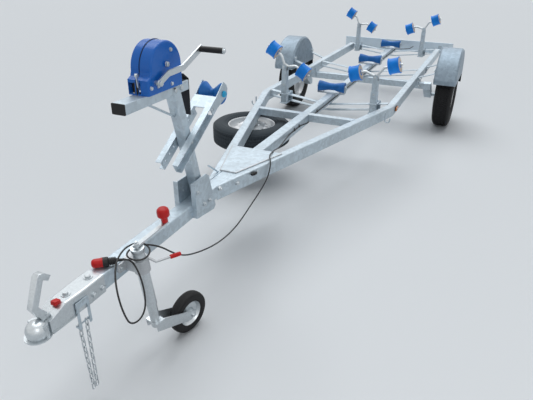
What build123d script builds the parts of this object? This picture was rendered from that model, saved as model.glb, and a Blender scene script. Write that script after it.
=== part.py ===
from build123d import *
from math import asin, atan2, cos, degrees, hypot, pi, radians, sin, tan
import os

# Boat trailer, millimetres. +Z is up, +Y points to the rear, +X is the trailer's left side.
# The origin is on the ground, midway between the coupling's nose and the tail lamps.
os.makedirs("parts", exist_ok=True)

# Driving dimensions of the whole trailer
overall_length = 5940
frame_top = 510
track_width = 1600
wheel_y = 1400
nose_y = -overall_length / 2
tail_y = overall_length / 2

# Clearances
flat_gap = 0.3
round_gap = 0.3
running_gap = 0.05

# Square and rectangular tube of the chassis
tube_wall = 4
tube_corner = 6
drawbar_size = 70
spine_size = 60
rail_width = 55
rail_height = 80
cross_size = 50
axle_size = 60

# Plan of the chassis
rail_inset = 276
rail_x = track_width / 2 - rail_inset
apex_setback = 1370
apex_y = nose_y + apex_setback
bend_y = 34
bend_radius = 240
cross_a_y = -431
cross_b_gap = 2
cross_c_y = wheel_y + 20
tail_overhang = 322
cross_d_y = tail_y - tail_overhang
cross_flat = 76
rail_end_y = cross_d_y + 52


def plane_along(start, end, side=(1, 0, 0)):
    """Plane at start whose normal points to end."""
    direction = Vector(*end) - Vector(*start)
    across = Vector(*side) - direction.normalized() * Vector(*side).dot(direction.normalized())
    return Plane(origin=start, x_dir=across, z_dir=direction)


def box_tube(start, end, width, height, wall, corner=tube_corner, side=(1, 0, 0)):
    """Rectangular tube on a straight centre line."""
    length = (Vector(*end) - Vector(*start)).length
    with BuildPart() as tube:
        with BuildSketch(plane_along(start, end, side)):
            RectangleRounded(width, height, corner)
            Rectangle(width - 2 * wall, height - 2 * wall, mode=Mode.SUBTRACT)
        extrude(amount=length)
    return tube.part


def bar(start, end, width, height, side=(1, 0, 0)):
    """Solid rectangular bar on a straight centre line."""
    length = (Vector(*end) - Vector(*start)).length
    with BuildPart() as piece:
        with BuildSketch(plane_along(start, end, side)):
            Rectangle(width, height)
        extrude(amount=length)
    return piece.part


def rod(start, end, radius):
    """Round rod on a straight centre line."""
    length = (Vector(*end) - Vector(*start)).length
    with BuildPart() as piece:
        across = (1, 0, 0) if abs(start[0] - end[0]) < length / 2 else (0, 1, 0)
        with BuildSketch(plane_along(start, end, across)):
            Circle(radius)
        extrude(amount=length)
    return piece.part


def save(part, name):
    """Label a finished piece and write it."""
    part.label = name
    export_step(part, f"parts/{name}.step")


# Drawbar: one square tube from inside the coupling to the first crossmember
coupling_length = 330
drawbar_front_y = nose_y + coupling_length - 60
drawbar_z = frame_top - drawbar_size / 2
cross_a_front = cross_a_y - cross_size / 2
with BuildPart() as drawbar:
    drawbar_ends = ((0, drawbar_front_y, drawbar_z), (0, cross_a_front, drawbar_z))
    add(box_tube(*drawbar_ends, drawbar_size, drawbar_size, tube_wall))
save(drawbar.part, "drawbar")

# Side rails: one bent tube on each side, from the drawbar's side to the last crossmember
rail_z = frame_top - rail_height / 2
apex_x = drawbar_size / 2 + rail_width / 2
rail_angle = atan2(rail_x - apex_x, bend_y - apex_y)
bend_tangent = bend_radius * tan(rail_angle / 2)
front_end_x = rail_x - bend_tangent * sin(rail_angle)
front_end_y = bend_y - bend_tangent * cos(rail_angle)
mitre_run = 240
with BuildPart() as side_rails:
    rail_start = (apex_x - mitre_run * sin(rail_angle), apex_y - mitre_run * cos(rail_angle), rail_z)
    with BuildLine() as rail_path:
        Line(rail_start, (front_end_x, front_end_y, rail_z))
        TangentArc(
            (front_end_x, front_end_y, rail_z),
            (rail_x, bend_y + bend_tangent, rail_z),
            tangent=(sin(rail_angle), cos(rail_angle), 0),
        )
        Line((rail_x, bend_y + bend_tangent, rail_z), (rail_x, rail_end_y, rail_z))
    with BuildSketch(plane_along(rail_start, (front_end_x, front_end_y, rail_z))):
        RectangleRounded(rail_width, rail_height, tube_corner)
        Rectangle(rail_width - 2 * tube_wall, rail_height - 2 * tube_wall, mode=Mode.SUBTRACT)
    sweep(path=rail_path.wire())
    split(bisect_by=Plane.YZ.offset(drawbar_size / 2), keep=Keep.TOP)
    mirror(about=Plane.YZ)
save(side_rails.part, "side_rails")

# Spine: square tube that carries the keel rollers, on top of the dropped crossmembers
spine_z = frame_top - spine_size / 2
cross_a_rear = cross_a_y + cross_size / 2
with BuildPart() as spine:
    add(box_tube((0, cross_a_rear, spine_z), (0, rail_end_y, spine_z), spine_size, spine_size, tube_wall))
save(spine.part, "spine")

# Crossmembers: a straight one between the front rails, three bent ones that drop in the middle
cross_b_y = bend_y + bend_tangent + cross_b_gap + cross_size / 2
rail_inner = rail_x - rail_width / 2
cross_top_mid = frame_top - spine_size
cross_a_reach = (cross_a_y - cross_size / 2 - apex_y) * tan(rail_angle)
cross_a_half = apex_x + cross_a_reach - rail_width / 2 / cos(rail_angle)
with BuildPart() as crossmembers:
    with BuildSketch(Plane.XY.offset(frame_top - cross_size)):
        slope = tan(rail_angle) * cross_size
        with BuildLine():
            Polyline(
                (-cross_a_half, cross_a_front),
                (cross_a_half, cross_a_front),
                (cross_a_half + slope, cross_a_rear),
                (-cross_a_half - slope, cross_a_rear),
                close=True,
            )
        make_face()
    extrude(amount=cross_size)
    for cross_y in (cross_b_y, cross_c_y, cross_d_y):
        with BuildSketch(Plane.XZ.offset(-cross_y - cross_size / 2)):
            with BuildLine():
                Polyline(
                    (-rail_inner, frame_top),
                    (-cross_flat / 2, cross_top_mid),
                    (cross_flat / 2, cross_top_mid),
                    (rail_inner, frame_top),
                    (rail_inner, frame_top - cross_size),
                    (cross_flat / 2, cross_top_mid - cross_size),
                    (-cross_flat / 2, cross_top_mid - cross_size),
                    (-rail_inner, frame_top - cross_size),
                    close=True,
                )
            make_face()
            offset(amount=-tube_wall, mode=Mode.SUBTRACT)
        extrude(amount=cross_size)
save(crossmembers.part, "crossmembers")

# Gusset plates: one welded on top of the apex and one below it
gusset_thickness = 6
gusset_front_y = apex_y - 10
gusset_rear_y = apex_y + 350
gusset_front_half = 45
gusset_rear_half = apex_x + (gusset_rear_y - apex_y) * tan(rail_angle)
with BuildPart() as gusset_plates:
    with BuildSketch(Plane.XY.offset(frame_top)) as gusset_outline:
        with BuildLine():
            Polyline(
                (-gusset_front_half, gusset_front_y),
                (gusset_front_half, gusset_front_y),
                (gusset_rear_half, gusset_rear_y),
                (-gusset_rear_half, gusset_rear_y),
                close=True,
            )
        make_face()
    extrude(amount=gusset_thickness)
    with BuildSketch(Plane.XY.offset(frame_top - rail_height - gusset_thickness)):
        add(gusset_outline.sketch)
    extrude(amount=gusset_thickness)
save(gusset_plates.part, "gusset_plates")

# Coupling head: pressed housing over the drawbar's end, with a domed nose and a turned-out lower lip
ball_z = 456
ball_radius = 25.2
head_radius = 38
dome_rise = 8
lip_width = 7
lip_thickness = 4
ball_y = nose_y + head_radius + lip_width
housing_wall = 5
housing_half = drawbar_size / 2 + housing_wall
housing_top = frame_top + housing_wall
housing_bottom = frame_top - drawbar_size
housing_rear_y = nose_y + coupling_length
bracket_y = nose_y + 207
bracket_width = 60
roof_start_y = ball_y + 104
roof_low_y = ball_y + 34
roof_low_z = housing_top - 26
neck_half = 33


def housing_plan(grow):
    """Outline of the housing from above, grown by a margin."""
    with BuildSketch() as plan:
        with Locations((0, ball_y)):
            Circle(head_radius + grow)
        with BuildLine():
            Polyline(
                (-housing_half - grow, housing_rear_y),
                (housing_half + grow, housing_rear_y),
                (housing_half + grow, housing_rear_y - 90),
                (neck_half + grow, ball_y + 28),
                (-neck_half - grow, ball_y + 28),
                (-housing_half - grow, housing_rear_y - 90),
                close=True,
            )
        make_face()
    return plan.sketch


housing_outline = housing_plan(0)
lip_outline = housing_plan(lip_width)
lip_rear_y = bracket_y - bracket_width / 2 - 2
with BuildPart() as coupling_head:
    with BuildSketch(Plane.YZ.offset(-housing_half)):
        with BuildLine():
            Polyline(
                (ball_y, housing_bottom),
                (ball_y, roof_low_z),
                (roof_low_y, roof_low_z),
                (roof_start_y, housing_top),
                (housing_rear_y, housing_top),
                (housing_rear_y, housing_bottom),
                close=True,
            )
        make_face()
    extrude(amount=2 * housing_half)
    with BuildSketch(Plane.XY.offset(housing_bottom)):
        add(housing_outline)
    extrude(amount=housing_top - housing_bottom, mode=Mode.INTERSECT)
    fillet(coupling_head.edges().filter_by(Axis.Y).group_by(Axis.Z)[-1], radius=8)
    with Locations((0, ball_y, ball_z + dome_rise)):
        Sphere(head_radius)
    split(bisect_by=Plane.XY.offset(housing_bottom), keep=Keep.TOP)
    with BuildSketch(Plane.XY.offset(housing_bottom)):
        add(lip_outline)
        with Locations((0, housing_rear_y)):
            Rectangle(4 * housing_half, 2 * (housing_rear_y - lip_rear_y), mode=Mode.SUBTRACT)
    extrude(amount=lip_thickness)
    with BuildSketch(Plane.XY.offset(housing_bottom)):
        with BuildLine():
            Polyline(
                (-drawbar_size / 2, housing_rear_y),
                (drawbar_size / 2, housing_rear_y),
                (drawbar_size / 2, housing_rear_y - 90),
                (neck_half - housing_wall, ball_y + 42),
                (-neck_half + housing_wall, ball_y + 42),
                (-drawbar_size / 2, housing_rear_y - 90),
                close=True,
            )
        make_face()
    extrude(amount=roof_low_z - housing_wall - housing_bottom, mode=Mode.SUBTRACT)
    with BuildSketch(Plane.XY.offset(housing_bottom)):
        with Locations((0, (drawbar_front_y + housing_rear_y) / 2)):
            Rectangle(drawbar_size, housing_rear_y - drawbar_front_y)
    extrude(amount=drawbar_size, mode=Mode.SUBTRACT)
    with Locations((0, ball_y, ball_z)):
        Sphere(ball_radius, mode=Mode.SUBTRACT)
    with BuildSketch(Plane.XY.offset(housing_bottom)):
        with Locations((0, ball_y)):
            Circle(ball_radius)
    extrude(amount=ball_z - housing_bottom, mode=Mode.SUBTRACT)
save(coupling_head.part, "coupling_head")

# Coupling handle: pressed channel lever that stands up over the head, with its top bent to the rear
handle_width = 26
handle_wall = 4
handle_foot = ball_y + 22
handle_heel = handle_foot + 36
roof_slope = (housing_top - roof_low_z) / (roof_start_y - roof_low_y)
handle_heel_z = roof_low_z + roof_slope * (handle_heel - roof_low_y)
handle_outline = (
    # along from the foot, up from it, and the way in to the hollow along and up
    (0, 0, 1, 0),
    (-31, 64, 1, 0),
    (18, 170, 1, -1),
    (45, 165, -0.6, -1.1),
    (66, 142, -0.6, -0.8),
    (52, 128, 0, 0),
    (33, 142, 0, 0),
    (-5, 62, 0, 0),
)


def handle_side(wall):
    """Side outline of the handle, or of its hollow where a wall is given."""
    bends = [
        (handle_foot + along + wall * in_along, roof_low_z + up + wall * in_up)
        for along, up, in_along, in_up in handle_outline
    ]
    with BuildSketch() as outline:
        with BuildLine():
            Polyline(*bends, (handle_heel, handle_heel_z), (roof_low_y, roof_low_z), close=True)
        make_face()
    return outline.sketch


handle_outer = handle_side(0)
handle_hollow = handle_side(handle_wall)
with BuildPart() as coupling_handle:
    with BuildSketch(Plane.YZ.offset(-handle_width / 2)):
        add(handle_outer)
    extrude(amount=handle_width)
    with BuildSketch(Plane.YZ.offset(handle_wall - handle_width / 2)):
        add(handle_hollow)
    extrude(amount=handle_width - 2 * handle_wall, mode=Mode.SUBTRACT)
    split(bisect_by=Plane.XY.offset(roof_low_z), keep=Keep.TOP)
    with Locations((0, ball_y, ball_z + dome_rise)):
        Sphere(head_radius, mode=Mode.SUBTRACT)
save(coupling_handle.part, "coupling_handle")

# Chain bracket: two strips on the coupling's side with a bow that the two strands of chain hang on
strip_width = 10
bracket_top = 488
bracket_low = 374
bracket_band = 26
bracket_thickness = 5
bow_radius = 3
bow_x = 28
bow_z = 382
with BuildPart() as chain_bracket:
    with BuildSketch(Plane.YZ.offset(housing_half)):
        with Locations((bracket_y, (bracket_top + bracket_low) / 2)):
            RectangleRounded(bracket_width, bracket_top - bracket_low, 4)
        with Locations((bracket_y, (bracket_top - bracket_band + bracket_low) / 2 - 4)):
            Rectangle(
                bracket_width - 2 * strip_width,
                bracket_top - bracket_low - bracket_band + 8,
                mode=Mode.SUBTRACT,
            )
    extrude(amount=bracket_thickness)
    for side in (-1, 1):
        ear_y = bracket_y + side * (bracket_width / 2 - 2.5)
        add(bar((bow_x - 4, ear_y, bow_z), (housing_half + 1, ear_y, bow_z), 5, 8, side=(0, 1, 0)))
    bow_half = bracket_width / 2 - 1
    add(rod((bow_x, bracket_y - bow_half, bow_z), (bow_x, bracket_y + bow_half, bow_z), bow_radius))
save(chain_bracket.part, "chain_bracket")

# Safety chain: two strands of short links that hang from the bracket's bow
link_wire = 5
link_inner_length = 28
link_inner_width = 7
link_slack = 0.6
link_pitch = link_inner_length - link_wire - link_slack
link_hang = 10.2
chain_links = 14
strand_gap_top = 34
strand_gap_low = 19


def chain_link(center, turned):
    """One link with straight sides and pointed ends, standing on its end."""
    base = Plane.YZ if turned else Plane.XZ
    plane = Plane(origin=center, x_dir=base.x_dir, z_dir=base.z_dir).offset(-link_wire / 2)
    half_length = link_inner_length / 2
    half_width = link_inner_width / 2
    with BuildPart() as link:
        with BuildSketch(plane):
            for sign_mode, grow in ((Mode.ADD, link_wire), (Mode.SUBTRACT, 0)):
                with BuildLine():
                    Polyline(
                        (half_width + grow, half_length * 0.7),
                        (half_width * 0.5 + grow * 0.5, half_length + grow),
                        (-half_width * 0.5 - grow * 0.5, half_length + grow),
                        (-half_width - grow, half_length * 0.7),
                        (-half_width - grow, -half_length * 0.7),
                        (-half_width * 0.5 - grow * 0.5, -half_length - grow),
                        (half_width * 0.5 + grow * 0.5, -half_length - grow),
                        (half_width + grow, -half_length * 0.7),
                        close=True,
                    )
                make_face(mode=sign_mode)
        extrude(amount=link_wire)
    return link.part


with BuildPart() as safety_chain:
    for index in range(chain_links):
        link_z = bow_z - link_hang - index * link_pitch
        strand_gap = strand_gap_top + (strand_gap_low - strand_gap_top) * index / (chain_links - 1)
        for strand_y in (bracket_y - strand_gap / 2, bracket_y + strand_gap / 2):
            add(chain_link((bow_x, strand_y, link_z), index % 2 == 1))
save(safety_chain.part, "safety_chain")

# Cheek plates that hold the foot of the winch post on both sides of the drawbar, flanged at the front
cheek_thickness = 5
cheek_bottom = 405
cheek_top = 620
winch_setback = 1057
post_foot_y = nose_y + winch_setback
cheek_front_y = post_foot_y - 114
cheek_flange = 20
cheek_bolts = (
    # place along the trailer from the post's foot, height
    (-72, 560),
    (-17, 475),
    (33, 475),
)
with BuildPart() as drawbar_cheeks:
    with BuildSketch(Plane.YZ.offset(drawbar_size / 2)):
        with BuildLine():
            Polyline(
                (cheek_front_y, cheek_top - 4),
                (cheek_front_y + 4, cheek_top),
                (post_foot_y + 18, cheek_top),
                (post_foot_y + 41, cheek_top - 16),
                (post_foot_y + 93, cheek_bottom + 15),
                (post_foot_y + 75, cheek_bottom),
                (post_foot_y - 77, cheek_bottom + 18),
                (cheek_front_y, cheek_bottom + 40),
                close=True,
            )
        make_face()
        with Locations(*[(post_foot_y + place, height) for place, height in cheek_bolts]):
            Circle(6.5, mode=Mode.SUBTRACT)
    extrude(amount=cheek_thickness)
    with BuildSketch(Plane.YZ.offset(drawbar_size / 2 + cheek_thickness)):
        with Locations((cheek_front_y + cheek_thickness / 2, (cheek_top + cheek_bottom + 36) / 2)):
            Rectangle(cheek_thickness, cheek_top - cheek_bottom - 44)
    extrude(amount=cheek_flange)
    mirror(about=Plane.YZ)
save(drawbar_cheeks.part, "drawbar_cheeks")

# Winch post: square tube that leans forward from the drawbar to the winch beam
post_size = 50
post_lean = radians(15)
post_foot_z = frame_top
beam_width = 60
beam_height = 42
beam_bottom = 1046
beam_front_reach = 485
beam_rear_reach = 69
beam_front_y = post_foot_y - beam_front_reach
beam_rear_y = post_foot_y - beam_rear_reach
beam_z = beam_bottom + beam_height / 2


def post_point(height):
    """Point on the post's centre line at a height over the ground."""
    return (0, post_foot_y - (height - post_foot_z) * tan(post_lean), height)


with BuildPart() as winch_post:
    add(box_tube(post_point(post_foot_z - 40), post_point(beam_bottom + 40), post_size, post_size, tube_wall))
    split(bisect_by=Plane.XY.offset(frame_top + flat_gap), keep=Keep.TOP)
    split(bisect_by=Plane.XY.offset(beam_bottom), keep=Keep.BOTTOM)
save(winch_post.part, "winch_post")

# Winch beam: short rectangular tube that carries the winch, with a welded collar round the post
with BuildPart() as winch_beam:
    add(box_tube((0, beam_front_y, beam_z), (0, beam_rear_y, beam_z), beam_width, beam_height, 3, 4))
save(winch_beam.part, "winch_beam")

# End caps of the winch beam and of the side rails
cap_thickness = 4
with BuildPart() as end_caps:
    for cap_y, direction in ((beam_front_y, -1), (beam_rear_y, 1)):
        with BuildSketch(Plane.XZ.offset(-cap_y)):
            with Locations((0, beam_z)):
                RectangleRounded(beam_width, beam_height, 4)
        extrude(amount=-cap_thickness * direction)
    for side in (-1, 1):
        with BuildSketch(Plane.XZ.offset(-rail_end_y)):
            with Locations((side * rail_x, rail_z)):
                RectangleRounded(rail_width, rail_height, tube_corner)
        extrude(amount=-cap_thickness)
save(end_caps.part, "end_caps")

# Post brace: thin round stay from the beam down to the post's front face
brace_radius = 5
brace_height = 945
brace_inset = 162
brace_top_y = beam_front_y + brace_inset
with BuildPart() as post_brace:
    brace_post_y = post_point(brace_height)[1] - post_size / 2 / cos(post_lean) - 4.5
    brace_post = (0, brace_post_y, brace_height)
    add(rod((0, brace_top_y, beam_bottom - 3), brace_post, brace_radius))
    split(bisect_by=Plane.XY.offset(beam_bottom - flat_gap), keep=Keep.BOTTOM)
save(post_brace.part, "post_brace")

# Winch cover: two moulded halves that stand on the beam, open below, with a slot for the strap behind
# and a window and a lever slot in the nose
cover_rear_y = beam_rear_y - 68
cover_front_y = beam_front_y + 118
cover_height = 186
cover_half_width = 48
cover_foot = beam_bottom + beam_height
cover_arc = 102
cover_wall = 4
cover_edge = 7
nose_height = 58
seam_x = -8
seam_width = 4
seam_height = 3
shaft_y = cover_front_y + 48
shaft_z = cover_foot + 43
shaft_radius = 9
drum_y = cover_rear_y - 110
drum_z = cover_foot + 100
drum_pin_radius = 8
strap_width = 45
strap_thickness = 3
cover_arc_y = cover_rear_y - cover_arc
cover_arc_z = cover_foot + cover_height - cover_arc


def cover_side(grow):
    """Side outline of the winch cover: a round back over a stepped nose."""
    with BuildSketch() as outline:
        with BuildLine():
            Polyline(
                (cover_rear_y + grow, cover_arc_z),
                (cover_rear_y + grow, cover_foot),
                (cover_front_y - grow, cover_foot),
                (cover_front_y - grow, cover_foot + nose_height + grow / 2),
                (cover_arc_y - cover_arc - 6 - grow / 2, cover_foot + nose_height + 10 + grow / 2),
                (cover_arc_y - cover_arc - grow, cover_arc_z),
            )
            CenterArc((cover_arc_y, cover_arc_z), cover_arc + grow, 0, 180)
        make_face()
    return outline.sketch


cover_outer = cover_side(0)
seam_outer = cover_side(seam_height)
seam_hollow = cover_side(-1)
with BuildPart() as winch_cover:
    with BuildSketch(Plane.YZ.offset(-cover_half_width)):
        add(cover_outer)
    extrude(amount=2 * cover_half_width)
    side_faces = winch_cover.faces().filter_by(Axis.X)
    fillet([edge for edge in side_faces.edges() if edge.center().Z > cover_foot + 1], radius=cover_edge)
    offset(amount=-cover_wall, openings=winch_cover.faces().sort_by(Axis.Z)[0])
    with BuildSketch(Plane.YZ.offset(seam_x - seam_width / 2)):
        add(seam_outer)
        add(seam_hollow, mode=Mode.SUBTRACT)
    extrude(amount=seam_width)
    split(bisect_by=Plane.XY.offset(cover_foot), keep=Keep.TOP)
    with BuildSketch(Plane.XZ.offset(-cover_rear_y - 8)):
        with Locations((0, cover_foot + 38)):
            Rectangle(strap_width + 8, 40)
    extrude(amount=20, mode=Mode.SUBTRACT)
    with BuildSketch(Plane.XZ.offset(-cover_front_y - 8)):
        with Locations((-28, cover_foot + 26)):
            Rectangle(30, 40)
        with Locations((8, cover_foot + 28)):
            Rectangle(9, 44)
    extrude(amount=20, mode=Mode.SUBTRACT)
    with BuildSketch(Plane.YZ.offset(-cover_half_width)):
        with Locations((shaft_y, shaft_z)):
            Circle(shaft_radius + running_gap)
    extrude(amount=2 * cover_half_width, mode=Mode.SUBTRACT)
    add(rod((-cover_half_width - 6, drum_y, drum_z), (cover_half_width + 6, drum_y, drum_z), drum_pin_radius))
save(winch_cover.part, "winch_cover")

# Ratchet lever: flat lever that stands on the beam behind the nose, its upper end out of the slot
ratchet_x = 8
with BuildPart() as ratchet_lever:
    with BuildSketch(Plane.YZ.offset(ratchet_x - 2)):
        with BuildLine():
            Polyline(
                (cover_front_y + 16, cover_foot),
                (cover_front_y + 10, cover_foot + 14),
                (cover_front_y - 10, cover_foot + 34),
                (cover_front_y - 14, cover_foot + 74),
                (cover_front_y - 6, cover_foot + 74),
                (cover_front_y - 2, cover_foot + 38),
                (cover_front_y + 24, cover_foot + 20),
                (cover_front_y + 30, cover_foot),
                close=True,
            )
        make_face()
    extrude(amount=4)
    knob_spot = (cover_front_y - 10, cover_foot + 78)
    add(rod((ratchet_x - 5, *knob_spot), (ratchet_x + 5, *knob_spot), 7))
save(ratchet_lever.part, "ratchet_lever")

# Winch drum: spool on its cross pin, with the strap wound on it and the large gear as one flange
gear_radius = 72
pinion_radius = 18
winding_radius = 52
drum_half = 34
flange_thickness = 6
with BuildPart() as winch_drum:
    with BuildSketch(Plane(origin=(0, drum_y, drum_z), x_dir=(1, 0, 0), z_dir=(0, 0, 1))):
        with BuildLine():
            Polyline(
                (-drum_half, drum_pin_radius + running_gap),
                (drum_half, drum_pin_radius + running_gap),
                (drum_half, gear_radius),
                (drum_half - flange_thickness, gear_radius),
                (drum_half - flange_thickness, winding_radius),
                (-drum_half + flange_thickness, winding_radius),
                (-drum_half + flange_thickness, gear_radius - 6),
                (-drum_half, gear_radius - 6),
                close=True,
            )
        make_face()
    revolve(axis=Axis((0, drum_y, drum_z), (1, 0, 0)))
save(winch_drum.part, "winch_drum")

# Winch crank: flat dog-leg arm on the drive shaft's end, with a grip
crank_plane_x = 62
crank_end_x = 100
crank_end_y = shaft_y + 240
crank_end_z = shaft_z + 91
arm_width = 24
arm_thickness = 6
grip_radius = 12
grip_length = 105
arm_turn = atan2(crank_end_z - shaft_z, crank_end_y - shaft_y)
arm_along = (0, cos(arm_turn), sin(arm_turn))
arm_reach = hypot(crank_end_y - shaft_y, crank_end_z - shaft_z)
with BuildPart() as winch_crank:
    arm_normal = (0, sin(arm_turn), -cos(arm_turn))
    crank_side = Plane(origin=(0, shaft_y, shaft_z), x_dir=arm_along, z_dir=arm_normal)
    with BuildSketch(crank_side.offset(-arm_width / 2)):
        with BuildLine():
            Polyline(
                (-16, crank_plane_x),
                (70, crank_plane_x),
                (120, crank_end_x),
                (arm_reach + 14, crank_end_x),
                (arm_reach + 14, crank_end_x + arm_thickness),
                (117, crank_end_x + arm_thickness),
                (67, crank_plane_x + arm_thickness),
                (-16, crank_plane_x + arm_thickness),
                close=True,
            )
        make_face()
    extrude(amount=arm_width)
    add(rod((-cover_half_width - 4, shaft_y, shaft_z), (crank_plane_x + 2, shaft_y, shaft_z), shaft_radius))
    pinion_start = (drum_half - flange_thickness - 1, shaft_y, shaft_z)
    add(rod(pinion_start, (drum_half + 1, shaft_y, shaft_z), pinion_radius))
save(winch_crank.part, "winch_crank")

with BuildPart() as crank_grip:
    with BuildSketch(Plane.YZ.offset(crank_end_x + arm_thickness)):
        with Locations((crank_end_y, crank_end_z)):
            Circle(grip_radius)
    extrude(amount=grip_length)
save(crank_grip.part, "crank_grip")

# Winch strap: webbing that leaves the drum through the cover's slot and hangs down behind the post
strap_drop_y = beam_rear_y + cap_thickness + 12
with BuildPart() as winch_strap:
    with BuildSketch(Plane.YZ.offset(-strap_width / 2)):
        with BuildLine():
            Polyline(
                (drum_y + winding_radius, drum_z - 6),
                (cover_rear_y - 6, cover_foot + 36),
                (cover_rear_y + 44, cover_foot + 27),
                (strap_drop_y - strap_thickness, cover_foot),
                (strap_drop_y - strap_thickness, 930),
                (strap_drop_y, 930),
                (strap_drop_y, cover_foot + 2),
                (cover_rear_y + 46, cover_foot + 27 + strap_thickness),
                (cover_rear_y - 4, cover_foot + 36 + strap_thickness),
                (drum_y + winding_radius + strap_thickness, drum_z - 4),
                close=True,
            )
        make_face()
    extrude(amount=strap_width)
save(winch_strap.part, "winch_strap")

# Bow stop: two channels, open outwards, that straddle the post and join in a bridge with tall ears for the
# roller's pin; a row of holes in each web and spacers against the post
stop_low_y = post_foot_y - 220
stop_low_z = 738
stop_rise = radians(31.5)
stop_half = 58
stop_depth = 50
stop_thickness = 4
stop_length = 408
stop_slot_half = 29
stop_slot_end = 335
stop_hole_radius = 5.5
stop_hole_pitch = 40
stop_hole_lift = 2
spacer_radius = 11
bow_pin_radius = 8
bow_pin_offset = 463
bow_pin_drop = 12
bow_pin_reach = stop_half + 9
stop_along = (0, cos(stop_rise), sin(stop_rise))
stop_plane = Plane(origin=(0, stop_low_y, stop_low_z), x_dir=stop_along, z_dir=(1, 0, 0))
post_crossing = (post_foot_y - (stop_low_z - post_foot_z) * tan(post_lean) - stop_low_y) / (
    cos(stop_rise) + sin(stop_rise) * tan(post_lean)
)


def stop_point(distance, lift=0, x=0):
    """Point along the bow stop from its low end, lifted off its centre line."""
    return (
        x,
        stop_low_y + distance * cos(stop_rise) - lift * sin(stop_rise),
        stop_low_z + distance * sin(stop_rise) + lift * cos(stop_rise),
    )


with BuildPart() as bow_stop:
    with BuildSketch(stop_plane.offset(-stop_half)) as stop_side:
        with Locations((stop_length / 2, 0)):
            Rectangle(stop_length, stop_depth)
        with BuildLine():
            Polyline(
                (stop_length - 14, stop_depth / 2),
                (stop_length, stop_depth / 2),
                (bow_pin_offset + 18, 34),
                (bow_pin_offset + 32, 36),
                (bow_pin_offset + 46, 2),
                (bow_pin_offset + 42, -20),
                (bow_pin_offset + 14, -42),
                (stop_length - 20, -stop_depth / 2),
                close=True,
            )
        make_face()
        corners = [corner for corner in stop_side.vertices() if corner.Y > stop_low_y + 350]
        fillet([corner for corner in corners if corner.Z > stop_point(bow_pin_offset + 10, -60)[2]], radius=7)
    extrude(amount=2 * stop_half)
    with BuildSketch(stop_plane.offset(stop_thickness - stop_half)):
        with Locations((stop_length / 2, -stop_thickness)):
            Rectangle(stop_length + 1, stop_depth)
        with Locations((bow_pin_offset, 0)):
            Rectangle(2 * (bow_pin_offset - stop_length), 4 * stop_depth)
    extrude(amount=2 * (stop_half - stop_thickness), mode=Mode.SUBTRACT)
    stop_top = Plane(origin=stop_point(0, stop_depth / 2), x_dir=stop_along, z_dir=stop_plane.y_dir)
    with BuildSketch(stop_top):
        with Locations((stop_slot_end / 2 - 1, 0)):
            Rectangle(stop_slot_end + 2, 2 * stop_slot_half)
    extrude(amount=-2 * stop_thickness, mode=Mode.SUBTRACT)
    for face_x, depth, mode in (
        # inner face and depth of a side's web, its two flanges and the space between them
        (stop_slot_half, stop_thickness, Mode.ADD),
        (stop_slot_half, stop_half - stop_slot_half, Mode.ADD),
        (stop_slot_half + stop_thickness, stop_half - stop_slot_half, Mode.SUBTRACT),
    ):
        height = stop_depth - 2 * stop_thickness if mode == Mode.SUBTRACT else stop_depth
        for near_x in (face_x, -face_x - depth):
            with BuildSketch(stop_plane.offset(near_x)):
                with Locations((stop_slot_end / 2, 0)):
                    Rectangle(stop_slot_end, height)
            extrude(amount=depth, mode=mode)
    with BuildSketch(stop_plane.offset(-stop_half - 1)):
        with Locations(*[(30 + index * stop_hole_pitch, stop_hole_lift) for index in range(9)]):
            Circle(stop_hole_radius)
    extrude(amount=2 * stop_half + 2, mode=Mode.SUBTRACT)
    for side in (-1, 1):
        spacer_foot = stop_point(post_crossing, stop_hole_lift, side * post_size / 2)
        spacer_end = stop_point(post_crossing, stop_hole_lift, side * (stop_slot_half + 1))
        add(rod(spacer_foot, spacer_end, spacer_radius))
    pin_start = stop_point(bow_pin_offset, -bow_pin_drop, -bow_pin_reach)
    add(rod(pin_start, stop_point(bow_pin_offset, -bow_pin_drop, bow_pin_reach), bow_pin_radius))
save(bow_stop.part, "bow_stop")

# Bow roller: soft V roller with two large lobes, on a pin between the ears
bow_roller_half = stop_half - stop_thickness - 1.5
bow_roller_end = 46
bow_roller_lobe = 50
bow_roller_waist = 20
bow_roller_center = stop_point(bow_pin_offset, -bow_pin_drop)
with BuildPart() as bow_roller:
    with BuildSketch(Plane(origin=bow_roller_center, x_dir=(1, 0, 0), z_dir=(0, 0, 1))):
        with BuildLine():
            Polyline(
                (-bow_roller_half, bow_pin_radius + running_gap),
                (bow_roller_half, bow_pin_radius + running_gap),
                (bow_roller_half, bow_roller_end),
                (bow_roller_half - 4, bow_roller_lobe),
                (bow_roller_half - 10, bow_roller_lobe),
                (6, bow_roller_waist),
                (-6, bow_roller_waist),
                (-bow_roller_half + 10, bow_roller_lobe),
                (-bow_roller_half + 4, bow_roller_lobe),
                (-bow_roller_half, bow_roller_end),
                close=True,
            )
        make_face()
    revolve(axis=Axis(bow_roller_center, (1, 0, 0)))
save(bow_roller.part, "bow_roller")

# Jockey wheel: a leg that leans, clamped to the drawbar's side, with a trailing fork and wheel
leg_x = 98
leg_base_y = nose_y + 522
leg_lean = radians(8)
outer_radius = 24
outer_wall = 3
outer_low = 140
outer_high = 420
head_radius_top = 27
head_high = 436
leg_radius = outer_radius - outer_wall - running_gap
leg_wall = 3
leg_low = 48
leg_high = 343
trail = 176
axle_drop = -65
fork_turn = radians(12)
jockey_radius = 100
jockey_width = 50
jockey_rim_radius = 60
jockey_pin_radius = 8
tread_half = jockey_width / 2 - 9
wheel_tip = asin(sin(fork_turn) * sin(leg_lean))
wheel_height = jockey_radius * cos(wheel_tip) + tread_half * sin(wheel_tip)
leg_base_z = wheel_height - axle_drop * cos(leg_lean) - trail * cos(fork_turn) * sin(leg_lean)
leg_up = (0, -sin(leg_lean), cos(leg_lean))


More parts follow.
